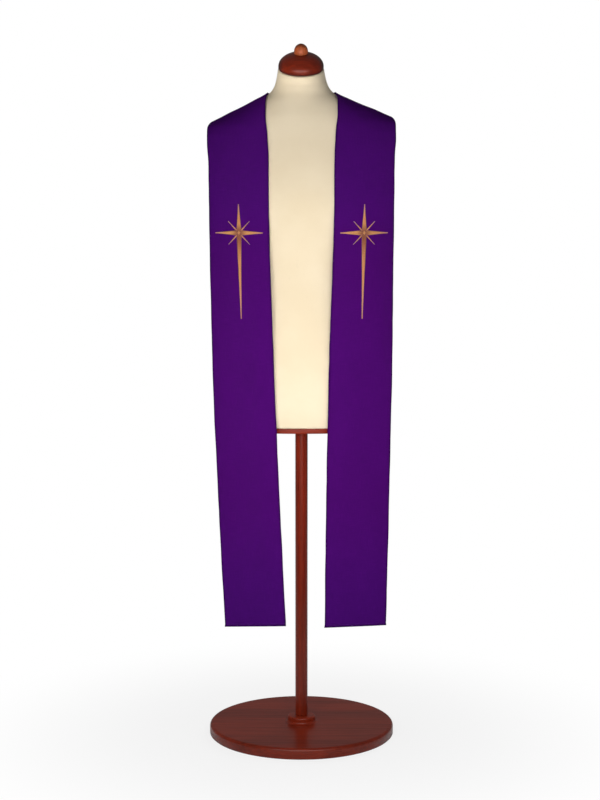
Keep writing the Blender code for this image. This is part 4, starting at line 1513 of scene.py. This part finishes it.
class STOLE_OT_form(bpy.types.Operator):
    """Build the covered torso of the dress form"""

    bl_idname = "stole.form"
    bl_label = "Form"

    def execute(self, context):
        form = context.scene.dress_form
        new_piece("form_cover", cover_mesh(form), cream_cover(form), "cream_cover", "form_torso")
        return {"FINISHED"}


class STOLE_OT_cap(bpy.types.Operator):
    """Turn the wooden cap of the neck and its knob"""

    bl_idname = "stole.cap"
    bl_label = "Cap and Knob"

    def execute(self, context):
        form = context.scene.dress_form
        light, dark = tuple(form.mahogany), tuple(form.mahogany_dark)
        # the cap's left and right sides get end-grain stain and painted shade, and its lower edge
        # painted shade
        ends = (NECK_ASIDE, CAP_RADIUS, CAP_STAIN_AND_SHADE_FROM)
        mahogany = varnished_wood("cap_mahogany", light, dark, 0, ends=ends, rim=True)
        cap_mesh = turned_mesh("neck_cap_wood", cap_points(form))
        new_piece("neck_cap_wood", cap_mesh, mahogany, "varnished_mahogany", "neck_cap")
        light, dark = tuple(form.knob), tuple(form.knob_dark)
        middle = on_neck(np.array([0, 0, CAP_HEIGHT + KNOB_RISE - KNOB_SINK]), CAP_GAP)
        # the knob's top and bottom darken: end-grain stain, and painted shade on its top
        ends = (middle[2], KNOB_RISE, KNOB_STAIN_AND_SHADE_FROM)
        knob = varnished_wood("knob_wood", light, dark, 2, 1.4, 0.5, 0.42, ends=ends)
        knob_mesh = turned_mesh("cap_knob_wood", knob_points())
        new_piece("cap_knob_wood", knob_mesh, knob, "knob_wood", "cap_knob")
        return {"FINISHED"}


class STOLE_OT_stand(bpy.types.Operator):
    """Build the plate, the pole and the round base of the stand"""

    bl_idname = "stole.stand"
    bl_label = "Stand"

    def execute(self, context):
        form = context.scene.dress_form
        light, dark = tuple(form.mahogany), tuple(form.mahogany_dark)
        flat_grain = varnished_wood("stand_mahogany", light, dark, 0)
        long_grain = varnished_wood("pole_mahogany", light, dark, 2)
        for name, points, material in (
            ("form_plate", plate_points(form), flat_grain),
            ("stand_pole", pole_points(), long_grain),
            ("stand_base", base_points(form), flat_grain),
        ):
            mesh = turned_mesh(f"{name}_wood", points)
            new_piece(f"{name}_wood", mesh, material, "varnished_mahogany", name)
        return {"FINISHED"}


class STOLE_OT_stage(bpy.types.Operator):
    """Set up the pale floor, the soft lights and the camera"""

    bl_idname = "stole.stage"
    bl_label = "Stage"

    def execute(self, context):
        studio = context.scene.studio
        lay_floor(studio)
        light_world(studio)
        for lamp in LAMPS:
            soft_light(lamp, studio.key_power)
        place_camera(studio)
        context.scene.view_settings.view_transform = "Standard"
        return {"FINISHED"}


# Lights: where each stands, the height on the pole that it faces, its width and height, its power as
# a share of the key power, the spread of its beam in degrees, and whether it lights the surfaces
# or only shows in their gloss.
Lamp = namedtuple("Lamp", "name place aim size share spread lit")

LAMPS = [
    Lamp("key_light", (-0.09, -1.32, 0.90), 0.90, (1.1, 0.7), 0.44, 130, True),
    Lamp("fill_light", (1.9, -2.2, 1.3), 0.95, (1.4, 1.4), 0.26, 180, True),
    Lamp("neck_light", (-0.75, -1.05, 1.80), 1.615, (0.2, 0.2), 0.0040, 20, True),
    Lamp("gloss_card", (-0.05, -1.60, 1.31), 1.31, (2.4, 0.50), 0.55, 180, False),
    Lamp("rear_light", (0.9, 2.4, 1.5), 1.0, (1.6, 1.6), 1.3, 180, True),
    Lamp("side_light", (-2.4, 1.2, 1.2), 1.0, (1.4, 1.4), 0.5, 180, True),
]


def lay_floor(studio):
    """A round floor: rings of points about the pole, closed by a point in the middle."""
    radius = np.concatenate([[0], np.linspace(0.3, 3.0, 10), np.linspace(4.0, 40.0, 10)])
    points = turned_points(np.stack([radius, np.zeros_like(radius)], axis=-1), 96)
    mesh = new_mesh("floor", points, [grid_quads(*points.shape[:2])[:, ::-1]])
    floor = bpy.data.objects.new("floor", mesh)
    mesh.materials.append(pale_floor(studio))
    bpy.context.scene.collection.objects.link(floor)


def light_world(studio):
    """Even light from all round, with the backdrop's colour where the camera sees past the floor."""
    world = bpy.data.worlds.new("studio")
    bpy.context.scene.world = world
    world.use_nodes = True
    nodes, links = world.node_tree.nodes, world.node_tree.links
    dim = nodes["Background"]
    dim.inputs["Color"].default_value = (1.0, 1.0, 1.0, 1)
    dim.inputs["Strength"].default_value = studio.ambient
    seen = nodes.new("ShaderNodeBackground")
    seen.inputs["Color"].default_value = (*studio.backdrop, 1)
    path = nodes.new("ShaderNodeLightPath")
    choose = nodes.new("ShaderNodeMixShader")
    links.new(path.outputs["Is Camera Ray"], choose.inputs[0])
    links.new(dim.outputs[0], choose.inputs[1])
    links.new(seen.outputs[0], choose.inputs[2])
    links.new(choose.outputs[0], nodes["World Output"].inputs["Surface"])


def soft_light(lamp, key_power):
    """A rectangular light of the table, turned to face its height on the pole."""
    data = bpy.data.lights.new(lamp.name, "AREA")
    data.shape = "RECTANGLE"
    data.size, data.size_y = lamp.size
    data.energy = key_power * lamp.share
    data.spread = radians(lamp.spread)
    light = bpy.data.objects.new(lamp.name, data)
    x, y, z = np.subtract((0, 0, lamp.aim), lamp.place)
    light.location = lamp.place
    light.rotation_euler = (np.arctan2(np.hypot(x, y), -z), 0, np.arctan2(y, x) - pi / 2)
    light.visible_camera = False
    light.visible_diffuse = lamp.lit
    light.visible_glossy = not lamp.lit
    bpy.context.scene.collection.objects.link(light)


def place_camera(studio):
    """A camera in front, level from side to side and looking slightly down."""
    data = bpy.data.cameras.new("camera")
    data.sensor_width = 36
    data.lens = data.sensor_width * studio.picture_focus
    data.clip_end = 100
    camera = bpy.data.objects.new("camera", data)
    camera.location = (studio.camera_aside, -studio.camera_distance, studio.camera_height)
    camera.rotation_euler = (pi / 2 - studio.camera_pitch, 0, 0)
    bpy.context.scene.collection.objects.link(camera)
    bpy.context.scene.camera = camera


# ---------------------------------------------------------------------------------------------
# Panel and registration
# ---------------------------------------------------------------------------------------------


class STOLE_PT_panel(bpy.types.Panel):
    """Settings and build steps of the stole"""

    bl_idname = "STOLE_PT_panel"
    bl_label = "Clerical Stole"
    bl_space_type = "VIEW_3D"
    bl_region_type = "UI"
    bl_category = "Stole"

    def draw(self, context):
        for group, operators in STEPS:
            box = self.layout.box()
            settings = getattr(context.scene, group)
            for label in settings.__annotations__:
                box.prop(settings, label)
            for operator in operators:
                box.operator(operator.bl_idname)


SETTINGS = {
    "stole_cloth": StoleClothSettings,
    "stole_embroidery": StoleEmbroiderySettings,
    "dress_form": DressFormSettings,
    "studio": StudioSettings,
}
STEPS = [
    ("stole_cloth", [STOLE_OT_bands]),
    ("stole_embroidery", [STOLE_OT_crosses]),
    ("dress_form", [STOLE_OT_form, STOLE_OT_cap, STOLE_OT_stand]),
    ("studio", [STOLE_OT_stage]),
]
OPERATORS = [operator for _, operators in STEPS for operator in operators]


def register():
    for settings in SETTINGS.values():
        bpy.utils.register_class(settings)
    for operator in OPERATORS:
        bpy.utils.register_class(operator)
    bpy.utils.register_class(STOLE_PT_panel)
    for label, settings in SETTINGS.items():
        setattr(bpy.types.Scene, label, PointerProperty(type=settings))


def unregister():
    for label in SETTINGS:
        delattr(bpy.types.Scene, label)
    bpy.utils.unregister_class(STOLE_PT_panel)
    for operator in reversed(OPERATORS):
        bpy.utils.unregister_class(operator)
    for settings in reversed(SETTINGS.values()):
        bpy.utils.unregister_class(settings)


def main():
    register()
    bpy.ops.stole.bands()
    bpy.ops.stole.crosses()
    bpy.ops.stole.form()
    bpy.ops.stole.cap()
    bpy.ops.stole.stand()
    bpy.ops.stole.stage()


if __name__ == "__main__":
    main()
